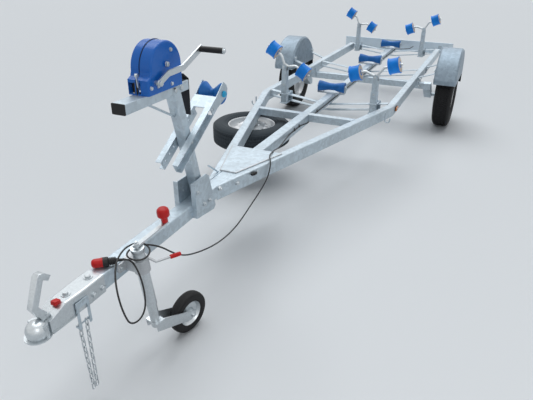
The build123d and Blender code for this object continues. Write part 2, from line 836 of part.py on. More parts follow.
def leg_point(x, y, height):
    """Point in the leg's own frame: height runs up the leg, y runs to the rear of it."""
    return (
        leg_x + x,
        leg_base_y - height * sin(leg_lean) + y * cos(leg_lean),
        leg_base_z + height * cos(leg_lean) + y * sin(leg_lean),
    )


def leg_plane(height):
    """Plane square to the leg."""
    return Plane(origin=leg_point(0, 0, height), x_dir=(1, 0, 0), z_dir=leg_up)


handle_arm = 185
handle_drop = 26
knob_stem = 28
knob_stem_radius = 14
knob_height = 40
knob_radius = 26
knob_foot = head_high + 16 - handle_drop * (handle_arm + 12) / (handle_arm + 24)
with BuildPart() as jockey_tube:
    with BuildSketch(leg_plane(outer_low)):
        Circle(outer_radius)
        Circle(outer_radius - outer_wall, mode=Mode.SUBTRACT)
    extrude(amount=outer_high - outer_low)
    with BuildSketch(leg_plane(outer_high)):
        Circle(head_radius_top)
    extrude(amount=head_high - outer_high)
    with BuildSketch(leg_plane(head_high)):
        Circle(8)
    extrude(amount=6)
    arm_end = leg_point(0, handle_arm + 12, head_high + 10 - handle_drop)
    add(bar(leg_point(0, -12, head_high + 10), arm_end, 20, 8))
save(jockey_tube.part, "jockey_tube")

# Clamp that holds the jockey's tube against the drawbar, with a screw lever
clamp_low = 322
clamp_high = 384
lever_height = 376
lever_bow = (28, 12, -18)
lever_reach = (30, 50, 0)
collar_radius = outer_radius + 8
with BuildPart() as jockey_clamp:
    with BuildSketch(leg_plane(clamp_low)):
        Circle(collar_radius)
        with Locations((-(leg_x - drawbar_size / 2) / 2, 0)):
            Rectangle(leg_x - drawbar_size / 2, 46)
        Circle(outer_radius + round_gap, mode=Mode.SUBTRACT)
    extrude(amount=clamp_high - clamp_low)
    lever_start = leg_point(collar_radius - 10, 20, lever_height)
    lever_bend = tuple(a + b for a, b in zip(lever_start, lever_bow))
    lever_end = tuple(a + b for a, b in zip(lever_bend, lever_reach))
    add(rod(lever_start, lever_bend, 5))
    with Locations(lever_bend):
        Sphere(5)
    add(rod(lever_bend, lever_end, 5))
save(jockey_clamp.part, "jockey_clamp")

grip_end = tuple(a + 0.8 * b for a, b in zip(lever_end, lever_reach))
with BuildPart() as jockey_grips:
    add(rod(lever_end, grip_end, 9))
    with BuildSketch(leg_plane(knob_foot)):
        with Locations((0, handle_arm)):
            Circle(knob_stem_radius)
    extrude(amount=knob_stem)
    with BuildSketch(leg_plane(knob_foot + knob_stem)):
        with Locations((0, handle_arm)):
            Circle(knob_radius)
    extrude(amount=knob_height)
save(jockey_grips.part, "jockey_grips")

# Inner leg: slides in the outer tube
with BuildPart() as jockey_leg:
    with BuildSketch(leg_plane(leg_low)):
        Circle(leg_radius)
        Circle(leg_radius - leg_wall, mode=Mode.SUBTRACT)
    extrude(amount=leg_high - leg_low)
save(jockey_leg.part, "jockey_leg")

# Fork: turns on a pin in the leg's foot and carries the wheel on a fixed axle; it trails outwards a little
fork_x = (cos(fork_turn), -sin(fork_turn) * cos(leg_lean), -sin(fork_turn) * sin(leg_lean))
fork_y = (sin(fork_turn), cos(fork_turn) * cos(leg_lean), cos(fork_turn) * sin(leg_lean))


def fork_point(x, y, height):
    """Point in the fork's own frame: x runs along the wheel's axle, y along the trail."""
    return leg_point(
        x * cos(fork_turn) + y * sin(fork_turn), y * cos(fork_turn) - x * sin(fork_turn), height
    )


fork_pin_radius = leg_radius - leg_wall - running_gap
fork_pin_length = 16
fork_plate_x = jockey_width / 2 + 5
fork_thickness = 4
boss_low = 14
with BuildPart() as jockey_fork:
    with BuildSketch(leg_plane(boss_low)):
        Circle(leg_radius)
    extrude(amount=leg_low - flat_gap - boss_low)
    with BuildSketch(leg_plane(leg_low - flat_gap)):
        Circle(fork_pin_radius)
    extrude(amount=fork_pin_length)
    with BuildSketch(Plane(origin=leg_point(0, 0, leg_low - 10), x_dir=fork_x, z_dir=leg_up)):
        Rectangle(2 * fork_plate_x + 2 * fork_thickness, 44)
    extrude(amount=10 - flat_gap)
    fork_side = Plane(origin=fork_point(fork_plate_x, 0, 0), x_dir=fork_y, z_dir=fork_x)
    for side in (0, 1):
        with BuildSketch(fork_side.offset(-side * (2 * fork_plate_x + fork_thickness))):
            with BuildLine():
                Polyline(
                    (-22, leg_low - flat_gap),
                    (26, leg_low - flat_gap),
                    (trail + 18, axle_drop + 14),
                    (trail + 18, axle_drop - 16),
                    (trail - 16, axle_drop - 18),
                    (-22, boss_low - 6),
                    close=True,
                )
            make_face()
        extrude(amount=fork_thickness)
    pin_reach = fork_plate_x + fork_thickness + 6
    pin_ends = (fork_point(-pin_reach, trail, axle_drop), fork_point(pin_reach, trail, axle_drop))
    add(rod(*pin_ends, jockey_pin_radius))
save(jockey_fork.part, "jockey_fork")

# Jockey wheel: solid rubber tyre on a plated rim
wheel_center = fork_point(0, trail, axle_drop)
wheel_axis = Axis(wheel_center, fork_x)
wheel_plane = Plane(origin=wheel_center, x_dir=fork_x, z_dir=leg_up)
with BuildPart() as jockey_tyre:
    with BuildSketch(wheel_plane):
        with BuildLine():
            Polyline(
                (-jockey_width / 2, jockey_rim_radius + round_gap),
                (jockey_width / 2, jockey_rim_radius + round_gap),
                (jockey_width / 2, jockey_radius - 12),
                (tread_half, jockey_radius),
                (-tread_half, jockey_radius),
                (-jockey_width / 2, jockey_radius - 12),
                close=True,
            )
        make_face()
    revolve(axis=wheel_axis)
save(jockey_tyre.part, "jockey_tyre")

hub_half = fork_plate_x - 1
with BuildPart() as jockey_rim:
    with BuildSketch(wheel_plane):
        with BuildLine():
            Polyline(
                (-hub_half, jockey_pin_radius + running_gap),
                (hub_half, jockey_pin_radius + running_gap),
                (hub_half, 20),
                (8, 26),
                (8, 50),
                (21, jockey_rim_radius),
                (-21, jockey_rim_radius),
                (-8, 50),
                (-8, 26),
                (-hub_half, 20),
                close=True,
            )
        make_face()
    revolve(axis=wheel_axis)
save(jockey_rim.part, "jockey_rim")

# Road wheels: tyre and steel rim, with the hub and its blind bearing bore
tyre_radius = 289
tyre_width = 165
bead_radius = 172
bead_half = 58
rim_wall = 6
hub_radius = 42
stub_radius = 15
hub_inner_x = -68
cap_x = 70


def tyre(center, axis_dir, radial):
    """Tyre as one ring: bore, bead walls, sidewalls, shoulders and tread."""
    plane = Plane(origin=center, x_dir=axis_dir, z_dir=Vector(*axis_dir).cross(Vector(*radial)))
    half = tyre_width / 2
    with BuildPart() as piece:
        with BuildSketch(plane):
            with BuildLine():
                Polyline(
                    (-bead_half, bead_radius + round_gap),
                    (bead_half, bead_radius + round_gap),
                    (half, tyre_radius - 62),
                    (half - 10, tyre_radius - 18),
                    (half - 26, tyre_radius),
                    (-half + 26, tyre_radius),
                    (-half + 10, tyre_radius - 18),
                    (-half, tyre_radius - 62),
                    close=True,
                )
            make_face()
        revolve(axis=Axis(center, axis_dir))
    return piece.part


def rim(center, axis_dir, radial, bored):
    """Steel rim with its disc; the road wheels' discs also carry the hub."""
    plane = Plane(origin=center, x_dir=axis_dir, z_dir=Vector(*axis_dir).cross(Vector(*radial)))
    barrel = bead_radius - rim_wall
    middle = [(34, hub_radius), (hub_inner_x, hub_radius), (hub_inner_x, stub_radius + running_gap),
              (46, stub_radius + running_gap), (46, 0), (cap_x, 0), (cap_x, 28), (40, 32)]
    if not bored:
        middle = [(34, 30), (40, 30)]
    with BuildPart() as piece:
        with BuildSketch(plane):
            with BuildLine():
                Polyline(
                    (40, 100),
                    (26, barrel),
                    (bead_half + 2, barrel),
                    (bead_half + 8, bead_radius + 11),
                    (bead_half, bead_radius),
                    (-bead_half, bead_radius),
                    (-bead_half - 8, bead_radius + 11),
                    (-bead_half - 2, barrel),
                    (20, barrel),
                    (34, 98),
                    *middle,
                    close=True,
                )
            make_face()
        revolve(axis=Axis(center, axis_dir))
    return piece.part


for name, side in (("left", 1), ("right", -1)):
    center = (side * track_width / 2, wheel_y, tyre_radius)
    save(tyre(center, (side, 0, 0), (0, 0, 1)), f"tyre_{name}")
    save(rim(center, (side, 0, 0), (0, 0, 1), True), f"rim_{name}")

# Spare wheel: lies flat under the right front rail
spare_x = -385
spare_y = -530
spare_center = (spare_x, spare_y, frame_top - rail_height - flat_gap - tyre_width / 2)
save(tyre(spare_center, (0, 0, -1), (0, 1, 0)), "spare_tyre")
save(rim(spare_center, (0, 0, -1), (0, 1, 0), False), "spare_rim")

# Spare carrier: plate across the rim's disc, hung from the first crossmember by two studs
carrier_z = spare_center[2] - 40
with BuildPart() as spare_carrier:
    with BuildSketch(Plane.XY.offset(carrier_z - 6)):
        with Locations((spare_x, spare_y)):
            Rectangle(120, 120)
    extrude(amount=6)
    add(bar((spare_x, spare_y, carrier_z), (spare_x, spare_y, frame_top - rail_height - flat_gap), 24, 24))
save(spare_carrier.part, "spare_carrier")

# Axle: square tube under the rails, with a trailing arm and a stub at each end
axle_y = wheel_y - 140
axle_z = frame_top - rail_height - axle_size / 2
arm_inset = 200
axle_half = track_width / 2 - arm_inset
arm_width = 65
axle_bracket = 6
axle_bracket_half = 62
axle_bracket_rise = 52
rail_side_x = rail_x + rail_width / 2
rail_bottom = frame_top - rail_height
with BuildPart() as axle:
    axle_ends = ((-axle_half, axle_y, axle_z), (axle_half, axle_y, axle_z))
    add(box_tube(*axle_ends, axle_size, axle_size, 5, side=(0, 1, 0)))
    for side in (-1, 1):
        for face_x in (rail_side_x, rail_x - rail_width / 2 - axle_bracket):
            with BuildSketch(Plane.YZ.offset(face_x if side > 0 else -face_x - axle_bracket)):
                with BuildLine():
                    Polyline(
                        (axle_y - axle_bracket_half, rail_bottom + axle_bracket_rise),
                        (axle_y + axle_bracket_half, rail_bottom + axle_bracket_rise),
                        (axle_y + axle_bracket_half, rail_bottom),
                        (axle_y + axle_size / 2 + 4, axle_z - axle_size / 2 + 8),
                        (axle_y - axle_size / 2 - 4, axle_z - axle_size / 2 + 8),
                        (axle_y - axle_bracket_half, rail_bottom),
                        close=True,
                    )
                make_face()
                with Locations((axle_y, axle_z)):
                    Rectangle(axle_size - 4, axle_size - 4, mode=Mode.SUBTRACT)
            extrude(amount=axle_bracket)
save(axle.part, "axle")

with BuildPart() as trailing_arms:
    with BuildSketch(Plane.YZ.offset(axle_half + flat_gap)):
        with BuildLine():
            Polyline(
                (axle_y - 34, axle_z + 26),
                (axle_y + 10, axle_z + 36),
                (wheel_y + 30, tyre_radius + 16),
                (wheel_y + 30, tyre_radius - 26),
                (wheel_y - 16, tyre_radius - 32),
                (axle_y - 34, axle_z - 30),
                close=True,
            )
        make_face()
    extrude(amount=arm_width)
    with BuildSketch(Plane.YZ.offset(axle_half + arm_width - 5)):
        with Locations((wheel_y, tyre_radius)):
            Circle(stub_radius)
    extrude(amount=arm_inset + 45 - arm_width)
    mirror(about=Plane.YZ)
save(trailing_arms.part, "trailing_arms")

# Mudguards: pressed sheet over each wheel with chamfered edges, side skirts and a straight lip at both ends
guard_radius = 345
guard_z = 400
guard_low = 462
guard_lip_half = 330
guard_half = 100
guard_wall = 3
guard_chamfer = 15
guard_crease = guard_z + (guard_radius**2 - guard_lip_half**2) ** 0.5
with BuildPart() as mudguards:
    with BuildSketch(Plane.YZ.offset(track_width / 2 - guard_half)):
        with Locations((wheel_y, guard_z)):
            Circle(guard_radius)
        with Locations((wheel_y, guard_crease - guard_radius)):
            Rectangle(2.5 * guard_radius, 2 * guard_radius, mode=Mode.SUBTRACT)
        with Locations((wheel_y, (guard_low + guard_crease) / 2)):
            Rectangle(2 * guard_lip_half, guard_crease - guard_low)
    extrude(amount=2 * guard_half)
    guard_sides = mudguards.faces().filter_by(Axis.X)
    chamfer([edge for edge in guard_sides.edges() if edge.center().Z > guard_low + 1], length=guard_chamfer)
    bottom = mudguards.faces().sort_by(Axis.Z)[0]
    offset(amount=-guard_wall, openings=bottom)
    mirror(about=Plane.YZ)
save(mudguards.part, "mudguards")

# Stays: flat brackets that carry each mudguard on the side rail
stay_reach = 250
stay_width = 50
stay_sheet = 6
stay_foot = 60
stay_rise = 50
stay_pad = 40
with BuildPart() as mudguard_stays:
    guard_side_x = track_width / 2 - guard_half
    for stay_y in (wheel_y - stay_reach, wheel_y + stay_reach):
        with BuildSketch(Plane.XZ.offset(-stay_y - stay_width / 2)):
            with BuildLine():
                foot_top = rail_bottom + stay_foot + 8
                pad_low = foot_top + stay_rise
                Polyline(
                    (rail_side_x, foot_top),
                    (guard_side_x - stay_sheet, pad_low),
                    (guard_side_x - stay_sheet, pad_low + stay_pad),
                    (guard_side_x, pad_low + stay_pad),
                    (guard_side_x, pad_low - 4),
                    (rail_side_x + stay_sheet, foot_top - 6),
                    (rail_side_x + stay_sheet, foot_top - stay_foot),
                    (rail_side_x, foot_top - stay_foot),
                    close=True,
                )
            make_face()
        extrude(amount=stay_width)
    mirror(about=Plane.YZ)
save(mudguard_stays.part, "mudguard_stays")

# Keel rollers: dumbbell rollers in U brackets on the spine
keel_rows = (
    # name, place along the trailer
    ("front", cross_b_y + 107),
    ("middle", cross_c_y + 73),
    ("rear", cross_d_y - 148),
)
keel_z = frame_top + 52
keel_base = 5
keel_half = 110
keel_end = 42
keel_waist = 28
keel_pin_radius = 9
keel_bracket_wall = 5
keel_bracket_width = 50
keel_rim = 16
saddle_depth = 20
with BuildPart() as keel_brackets:
    for name, keel_y in keel_rows:
        with BuildSketch(Plane.XZ.offset(-keel_y - keel_bracket_width / 2)):
            with BuildLine():
                inner = keel_half + 2
                outer = inner + keel_bracket_wall
                saddle = spine_size / 2
                Polyline(
                    (-outer, frame_top + 6),
                    (-outer + 6, frame_top),
                    (-saddle - keel_bracket_wall, frame_top),
                    (-saddle - keel_bracket_wall, frame_top - saddle_depth),
                    (-saddle, frame_top - saddle_depth),
                    (-saddle, frame_top),
                    (saddle, frame_top),
                    (saddle, frame_top - saddle_depth),
                    (saddle + keel_bracket_wall, frame_top - saddle_depth),
                    (saddle + keel_bracket_wall, frame_top),
                    (outer - 6, frame_top),
                    (outer, frame_top + 6),
                    (outer, keel_z + keel_rim),
                    (inner, keel_z + keel_rim),
                    (inner, frame_top + keel_base),
                    (-inner, frame_top + keel_base),
                    (-inner, keel_z + keel_rim),
                    (-outer, keel_z + keel_rim),
                    close=True,
                )
            make_face()
        extrude(amount=keel_bracket_width)
        add(rod((-outer - 8, keel_y, keel_z), (outer + 8, keel_y, keel_z), keel_pin_radius))
save(keel_brackets.part, "keel_brackets")

for name, keel_y in keel_rows:
    keel_center = (0, keel_y, keel_z)
    with BuildPart() as keel_roller:
        with BuildSketch(Plane(origin=keel_center, x_dir=(1, 0, 0), z_dir=(0, 0, 1))):
            with BuildLine():
                Polyline(
                    (-keel_half, keel_pin_radius + running_gap),
                    (keel_half, keel_pin_radius + running_gap),
                    (keel_half, keel_end),
                    (keel_half - 14, keel_end),
                    (22, keel_waist),
                    (-22, keel_waist),
                    (-keel_half + 14, keel_end),
                    (-keel_half, keel_end),
                    close=True,
                )
            make_face()
        revolve(axis=Axis(keel_center, (1, 0, 0)))
    save(keel_roller.part, f"keel_roller_{name}")

# Side roller stations: a telescopic post clamped to a crossmember, a rocker of two bent bars on a cross
# bolt and a pair of rollers on the bars' ends
post_width = 50
post_wall = 3
post_outer_top = frame_top + 92
post_overlap = 40
post_foot_drop = 70
post_drop = 28
ear_width = 36
ear_wall = 6
clamp_bolt_radius = 5
clamp_plate = 6
clamp_plate_half = 46
clamp_reach = 40
rocker_lift = 56
rocker_boss_radius = 20
rocker_boss_half = 16
rocker_bend_x = 72
rocker_bend_radius = 30
roller_spacing = 300
roller_radius = 61
roller_waist = 56
roller_half = 40
roller_hub_half = 43
roller_hub_radius = 24
roller_axle_radius = 10
collar_width = 5
collar_wall = 6
rocker_bolt_radius = 8
stations = (
    # name, side, crossmember, distance from the middle, height of the pivot, tilt of the axle in degrees
    ("front_left", 1, cross_b_y, 390, 714, 16),
    ("front_right", -1, cross_b_y, 357, 724, 31),
    ("rear_left", 1, cross_d_y, 348, 736, 22),
    ("rear_right", -1, cross_d_y, 430, 744, 29),
)
post_setback = cross_size / 2 + post_width / 2 + flat_gap
with BuildPart() as roller_posts:
    for name, side, cross_y, distance, pivot_z, tilt in stations:
        x = side * distance
        post_y = cross_y - post_setback
        cross_drop = spine_size * (rail_inner - distance) / (rail_inner - cross_flat / 2)
        clamp_z = frame_top - cross_size / 2 - cross_drop
        inner_width = post_width - 2 * post_wall
        post_top = pivot_z - post_drop
        add(box_tube((x, post_y, frame_top - cross_drop - post_foot_drop), (x, post_y, post_outer_top),
                     post_width, post_width, post_wall, 5))
        add(box_tube((x, post_y, post_outer_top - post_overlap), (x, post_y, post_top),
                     inner_width, inner_width, post_wall, 2))
        for ear_y in (post_y - inner_width / 2 + post_wall, post_y + inner_width / 2 - post_wall):
            outward = ear_wall / 2 if ear_y > post_y else -ear_wall / 2
            ear_middle = ear_y + outward
            add(bar((x, ear_middle, post_top - 30), (x, ear_middle, pivot_z + 14), ear_width, ear_wall))
        add(rod((x, post_y - post_width / 2 - 10, pivot_z), (x, post_y + post_width / 2 + 10, pivot_z),
                rocker_bolt_radius))
        plate_y = cross_y + cross_size / 2
        plate_ends = ((x, plate_y, clamp_z), (x, plate_y + clamp_plate, clamp_z))
        add(bar(*plate_ends, 2 * clamp_reach, 2 * clamp_plate_half))
        for clamp_side in (-1, 1):
            bolt_z = clamp_z + clamp_side * (cross_size / 2 + 12)
            front_y = post_y - post_width / 2 - 2
            bolt_x = post_width / 2 + 3
            bolt_end_y = plate_y + clamp_plate + 12
            for leg in (x - bolt_x, x + bolt_x):
                add(rod((leg, front_y, bolt_z), (leg, bolt_end_y, bolt_z), clamp_bolt_radius))
            add(rod((x - bolt_x, front_y, bolt_z), (x + bolt_x, front_y, bolt_z), clamp_bolt_radius))
save(roller_posts.part, "roller_posts")


def bent_rod(points, radius, bend):
    """Round bar along straight runs joined by bends of one radius."""
    with BuildPart() as piece:
        with BuildLine() as path:
            FilletPolyline(*points, radius=bend)
        with BuildSketch(Plane(origin=points[0], z_dir=Vector(*points[1]) - Vector(*points[0]))):
            Circle(radius)
        sweep(path=path.wire())
    return piece.part


for name, side, cross_y, distance, pivot_z, tilt in stations:
    slope = radians(tilt) * side
    along = Vector(cos(slope), 0, sin(slope))
    normal = Vector(-sin(slope), 0, cos(slope))
    pivot = Vector(side * distance, cross_y - post_setback, pivot_z)
    middle = pivot + normal * rocker_lift
    rocker_side = Plane(origin=pivot, x_dir=along, z_dir=(0, -1, 0))
    hub_start = roller_spacing / 2 - roller_hub_half - 1
    hub_end = roller_spacing / 2 + roller_hub_half + 1
    with BuildPart() as rocker:
        with BuildSketch(rocker_side.offset(-rocker_boss_half)):
            Circle(rocker_boss_radius)
        extrude(amount=2 * rocker_boss_half)
        for end in (-1, 1):
            bar_start = pivot + along * (end * 9) + normal * 6
            bar_bend = middle + along * (end * rocker_bend_x)
            bar_end = middle + along * (end * (hub_end + collar_width + 4))
            bends = (tuple(bar_start), tuple(bar_bend), tuple(bar_end))
            add(bent_rod(bends, roller_axle_radius, rocker_bend_radius))
            for collar_start in (hub_start - collar_width, hub_end):
                collar_from = middle + along * (end * collar_start)
                collar_to = middle + along * (end * (collar_start + collar_width))
                add(rod(tuple(collar_from), tuple(collar_to), roller_axle_radius + collar_wall))
        with BuildSketch(rocker_side.offset(-rocker_boss_half - 1)):
            Circle(rocker_bolt_radius + running_gap)
        extrude(amount=2 * rocker_boss_half + 2, mode=Mode.SUBTRACT)
    save(rocker.part, f"rocker_{name}")
    with BuildPart() as roller_pair:
        for end in (-1, 1):
            roller_center = middle + along * (end * roller_spacing / 2)
            with BuildSketch(Plane(origin=roller_center, x_dir=along, z_dir=(0, -1, 0))):
                with BuildLine():
                    Polyline(
                        (-roller_hub_half, roller_axle_radius + running_gap),
                        (roller_hub_half, roller_axle_radius + running_gap),
                        (roller_hub_half, roller_hub_radius),
                        (roller_half, roller_hub_radius),
                        (roller_half, roller_radius),
                        (roller_half - 4, roller_radius),
                        (roller_half - 10, roller_waist + 1),
                        (0, roller_waist),
                        (-roller_half + 10, roller_waist + 1),
                        (-roller_half + 4, roller_radius),
                        (-roller_half, roller_radius),
                        (-roller_half, roller_hub_radius),
                        (-roller_hub_half, roller_hub_radius),
                        close=True,
                    )
                make_face()
            revolve(axis=Axis(middle, along))
    save(roller_pair.part, f"rollers_{name}")

# Light board: folded plate across the tail, on two arms from the rails
board_half = 675
board_low = 420
board_high = 550
board_thickness = 3
board_lip = 22
lamp_depth = 45
board_y = tail_y - lamp_depth - board_thickness
with BuildPart() as light_board:
    with BuildSketch(Plane.YZ.offset(-board_half)):
        with BuildLine():
            Polyline(
                (board_y + board_thickness, board_low),
                (board_y + board_thickness, board_high),
                (board_y - board_lip, board_high),
                (board_y - board_lip, board_high - board_thickness),
                (board_y, board_high - board_thickness),
                (board_y, board_low + board_thickness),
                (board_y - board_lip, board_low + board_thickness),
                (board_y - board_lip, board_low),
                close=True,
            )
        make_face()
    extrude(amount=2 * board_half)
    for side in (-1, 1):
        add(bar((side * rail_x, rail_end_y + cap_thickness, rail_z), (side * rail_x, board_y, rail_z), 40, 8))
save(light_board.part, "light_board")

# Lamps: two tail lamps on the board and a side marker on each rail
lamp_width = 230
lamp_height = 90
marker_y = 112
with BuildPart() as lamps:
    with BuildSketch(Plane.XZ.offset(-board_y - board_thickness)):
        with Locations((board_half - lamp_width / 2 - 20, (board_low + board_high) / 2)):
            RectangleRounded(lamp_width, lamp_height, 14)
    extrude(amount=-lamp_depth)
    with BuildSketch(Plane.YZ.offset(rail_side_x)):
        with Locations((marker_y, frame_top - 38)):
            RectangleRounded(70, 34, 8)
    extrude(amount=16)
    mirror(about=Plane.YZ)
save(lamps.part, "lamps")

# Plug: connector and its parking cap, lying across the top of the drawbar
plug_radius = 19
plug_z = frame_top + plug_radius + flat_gap
plug_tail = (40, nose_y + 409, plug_z)
plug_head = (-32, nose_y + 348, plug_z)
plug_joint = 0.55
plug_split = tuple(a + (b - a) * plug_joint for a, b in zip(plug_tail, plug_head))
with BuildPart() as plug:
    add(rod(plug_tail, plug_split, plug_radius))
save(plug.part, "plug")
with BuildPart() as plug_cap:
    add(rod(plug_split, plug_head, plug_radius))
save(plug_cap.part, "plug_cap")

# Cable: from the plug down in a loop before the jockey's tube, up and round behind its head, in a long
# sag beside the drawbar, over the left rail and in to a clip on the drawbar's side. Points set by hand
cable_radius = 3.5
cable_points = [
    plug_tail,
    (66.7, -2538.4, plug_z),
    (94, -2541, 526),
    (120, -2550, 508),
    (140, -2557, 472),
    (151, -2561, 425),
    (155, -2566, 375),
    (155, -2578, 340),
    (152, -2600, 320),
    (148, -2630, 318),
    (145, -2657, 337),
    (142, -2670, 378),
    (134, -2676, 430),
    (118, -2667, 481),
    (94, -2641, 522),
    (70, -2602, 548),
    (56, -2556, 562),
    (53, -2512, 567),
    (68, -2475, 567),
    (100, -2461, 562),
    (132, -2474, 553),
    (144, -2505, 544),
    (132, -2537, 540),
    (98, -2549, 541),
    (64, -2537, 543),
    (50, -2505, 544),
    (56, -2465, 544),
    (82, -2433, 540),
    (117, -2391, 514),
    (130, -2338, 459),
    (122, -2280, 412),
    (108, -2218, 368),
    (100, -2145, 330),
    (98, -2060, 298),
    (99, -1970, 272),
    (100, -1880, 256),
    (101, -1790, 251),
    (101, -1700, 258),
    (101, -1615, 277),
    (106, -1545, 306),
    (120, -1485, 346),
    (141, -1445, 396),
    (157, -1421, 452),
    (160, -1403, 505),
    (144, -1378, 531),
    (121, -1335, 526),
    (112, -1280, 524),
    (104, -1220, 517),
    (92, -1150, 499),
    (78, -1075, 487),
    (62, -990, 480),
    (48, -905, 477.5),
    (38.8, -820, 477),
    (38.8, -740, 477),
]


def cord_radii(points):
    """Radius of the arc at each inner point of a cord's route, as large as its two runs allow."""
    radii = []
    for before, here, after in zip(points, points[1:], points[2:]):
        first = Vector(*here) - Vector(*before)
        second = Vector(*after) - Vector(*here)
        radii.append(0.45 * min(first.length, second.length) / tan(radians(first.get_angle(second)) / 2))
    return radii


def cord_tube(points, radius, radii):
    """Round tube along straight runs joined by tangent arcs."""
    with BuildPart() as tube:
        with BuildLine() as path:
            FilletPolyline(*points, radius=radii)
        with BuildSketch(Plane(origin=points[0], z_dir=Vector(*points[1]) - Vector(*points[0]))):
            Circle(radius)
        sweep(path=path.wire())
    length = path.wire().length
    print("cord", round(length), "mm, volume to section times length",
          round(tube.part.volume / (pi * radius**2 * length), 4),
          "smallest radius", round(min(radii), 1))
    return tube.part


cable_radii = cord_radii(cable_points)
print("cable radii", [round(radius) for radius in cable_radii])
save(cord_tube(cable_points, cable_radius, cable_radii), "cable")

# Clipped run of the cable: along the drawbar's side, under the first crossmember, along the spine's
# side over the bent crossmembers and out to the light board
run_z = 477
run_bend = 40
under_z = frame_top - cross_size - cable_radius - round_gap - 1
spine_side = spine_size / 2 + cable_radius + round_gap
run_points = [
    cable_points[-1],
    (38.8, -620, run_z),
    (38.8, cross_a_front - 30, under_z),
    (38.8, cross_a_rear + 30, under_z),
    (spine_side, -320, run_z),
    (spine_side, rail_end_y - 40, run_z),
    (90, rail_end_y + 60, 466),
    (170, rail_end_y + 130, 466),
    (200, board_y - 60, 480),
    (200, board_y - flat_gap, 480),
]
run_radii = [min(radius, run_bend) for radius in cord_radii(run_points)]
save(cord_tube(run_points, cable_radius, run_radii), "cable_run")
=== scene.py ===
from math import cos, pi, radians, sin

import bmesh
import bpy
from mathutils import Matrix, Vector


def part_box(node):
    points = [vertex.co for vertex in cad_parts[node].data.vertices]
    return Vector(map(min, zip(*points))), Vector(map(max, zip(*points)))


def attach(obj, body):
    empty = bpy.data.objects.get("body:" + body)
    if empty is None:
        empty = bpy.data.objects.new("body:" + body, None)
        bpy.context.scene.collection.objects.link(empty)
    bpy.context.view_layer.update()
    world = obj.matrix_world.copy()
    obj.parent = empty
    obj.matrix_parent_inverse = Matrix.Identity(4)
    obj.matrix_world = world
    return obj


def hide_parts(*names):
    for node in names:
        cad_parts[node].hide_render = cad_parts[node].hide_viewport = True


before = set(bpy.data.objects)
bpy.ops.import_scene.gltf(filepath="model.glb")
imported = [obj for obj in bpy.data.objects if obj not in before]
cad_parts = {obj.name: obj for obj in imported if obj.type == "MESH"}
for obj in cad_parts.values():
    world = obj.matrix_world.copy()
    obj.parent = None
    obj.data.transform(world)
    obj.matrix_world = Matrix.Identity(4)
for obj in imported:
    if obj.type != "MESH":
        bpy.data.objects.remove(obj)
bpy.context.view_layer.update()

# Camera: stands ahead of the coupling on the trailer's left and looks back and down along it.
# A lens of about 34 mm on a 36 mm wide picture takes in the whole trailer.
scene = bpy.context.scene
scene.view_settings.view_transform = "Standard"
camera_place = Vector((1.206, -3.776, 1.591))
camera_yaw = radians(24.28)
camera_pitch = radians(26.81)
camera_roll = radians(0.36)
lens = bpy.data.cameras.new("photo_camera")
lens.sensor_width = 36
lens.lens = 33.84
lens.clip_end = 200
camera = bpy.data.objects.new("photo_camera", lens)
scene.collection.objects.link(camera)
camera_turn = (
    Matrix.Rotation(camera_yaw, 4, "Z")
    @ Matrix.Rotation(pi / 2 - camera_pitch, 4, "X")
    @ Matrix.Rotation(camera_roll, 4, "Z")
)
camera.matrix_world = Matrix.Translation(camera_place) @ camera_turn
scene.camera = camera

# Floor and light: a wide pale floor, an even white surround, one broad soft lamp above the tail and a panel
# in front. The floor is matt and keeps the shadow; the surround shows white to the lens and in gloss.


def new_surface(name, colour, roughness, metallic=0.0):
    """Material with one plain shader."""
    material = bpy.data.materials.new(name)
    material.use_nodes = True
    shader = material.node_tree.nodes["Principled BSDF"]
    shader.inputs["Base Color"].default_value = (*colour, 1)
    shader.inputs["Roughness"].default_value = roughness
    shader.inputs["Metallic"].default_value = metallic
    return material


floor_mesh = bpy.data.meshes.new("floor")
floor_shape = bmesh.new()
bmesh.ops.create_circle(floor_shape, cap_ends=True, segments=96, radius=70)
floor_shape.to_mesh(floor_mesh)
floor_shape.free()
floor = bpy.data.objects.new("floor", floor_mesh)
scene.collection.objects.link(floor)
floor.data.materials.append(new_surface("floor_paint", (0.76, 0.77, 0.78), 0.9))

surround = bpy.data.worlds.new("surround")
surround.use_nodes = True
scene.world = surround
sky_nodes = surround.node_tree.nodes
sky_links = surround.node_tree.links
sky_light = sky_nodes["Background"]
sky_light.inputs["Color"].default_value = (0.84, 0.92, 1.0, 1)
sky_light.inputs["Strength"].default_value = 0.22
sky_white = sky_nodes.new("ShaderNodeBackground")
sky_white.inputs["Color"].default_value = (1, 1, 1, 1)
sky_white.inputs["Strength"].default_value = 1.0
sky_mix = sky_nodes.new("ShaderNodeMixShader")
ray = sky_nodes.new("ShaderNodeLightPath")
lens_or_gloss = sky_nodes.new("ShaderNodeMath")
lens_or_gloss.operation = "MAXIMUM"
seen = sky_nodes.new("ShaderNodeMath")
seen.operation = "MAXIMUM"
sky_links.new(ray.outputs["Is Camera Ray"], lens_or_gloss.inputs[0])
sky_links.new(ray.outputs["Is Glossy Ray"], lens_or_gloss.inputs[1])
sky_links.new(lens_or_gloss.outputs[0], seen.inputs[0])
sky_links.new(ray.outputs["Is Transmission Ray"], seen.inputs[1])
sky_links.new(seen.outputs[0], sky_mix.inputs[0])
sky_links.new(sky_light.outputs[0], sky_mix.inputs[1])
sky_links.new(sky_white.outputs[0], sky_mix.inputs[2])
sky_links.new(sky_mix.outputs[0], sky_nodes["World Output"].inputs["Surface"])

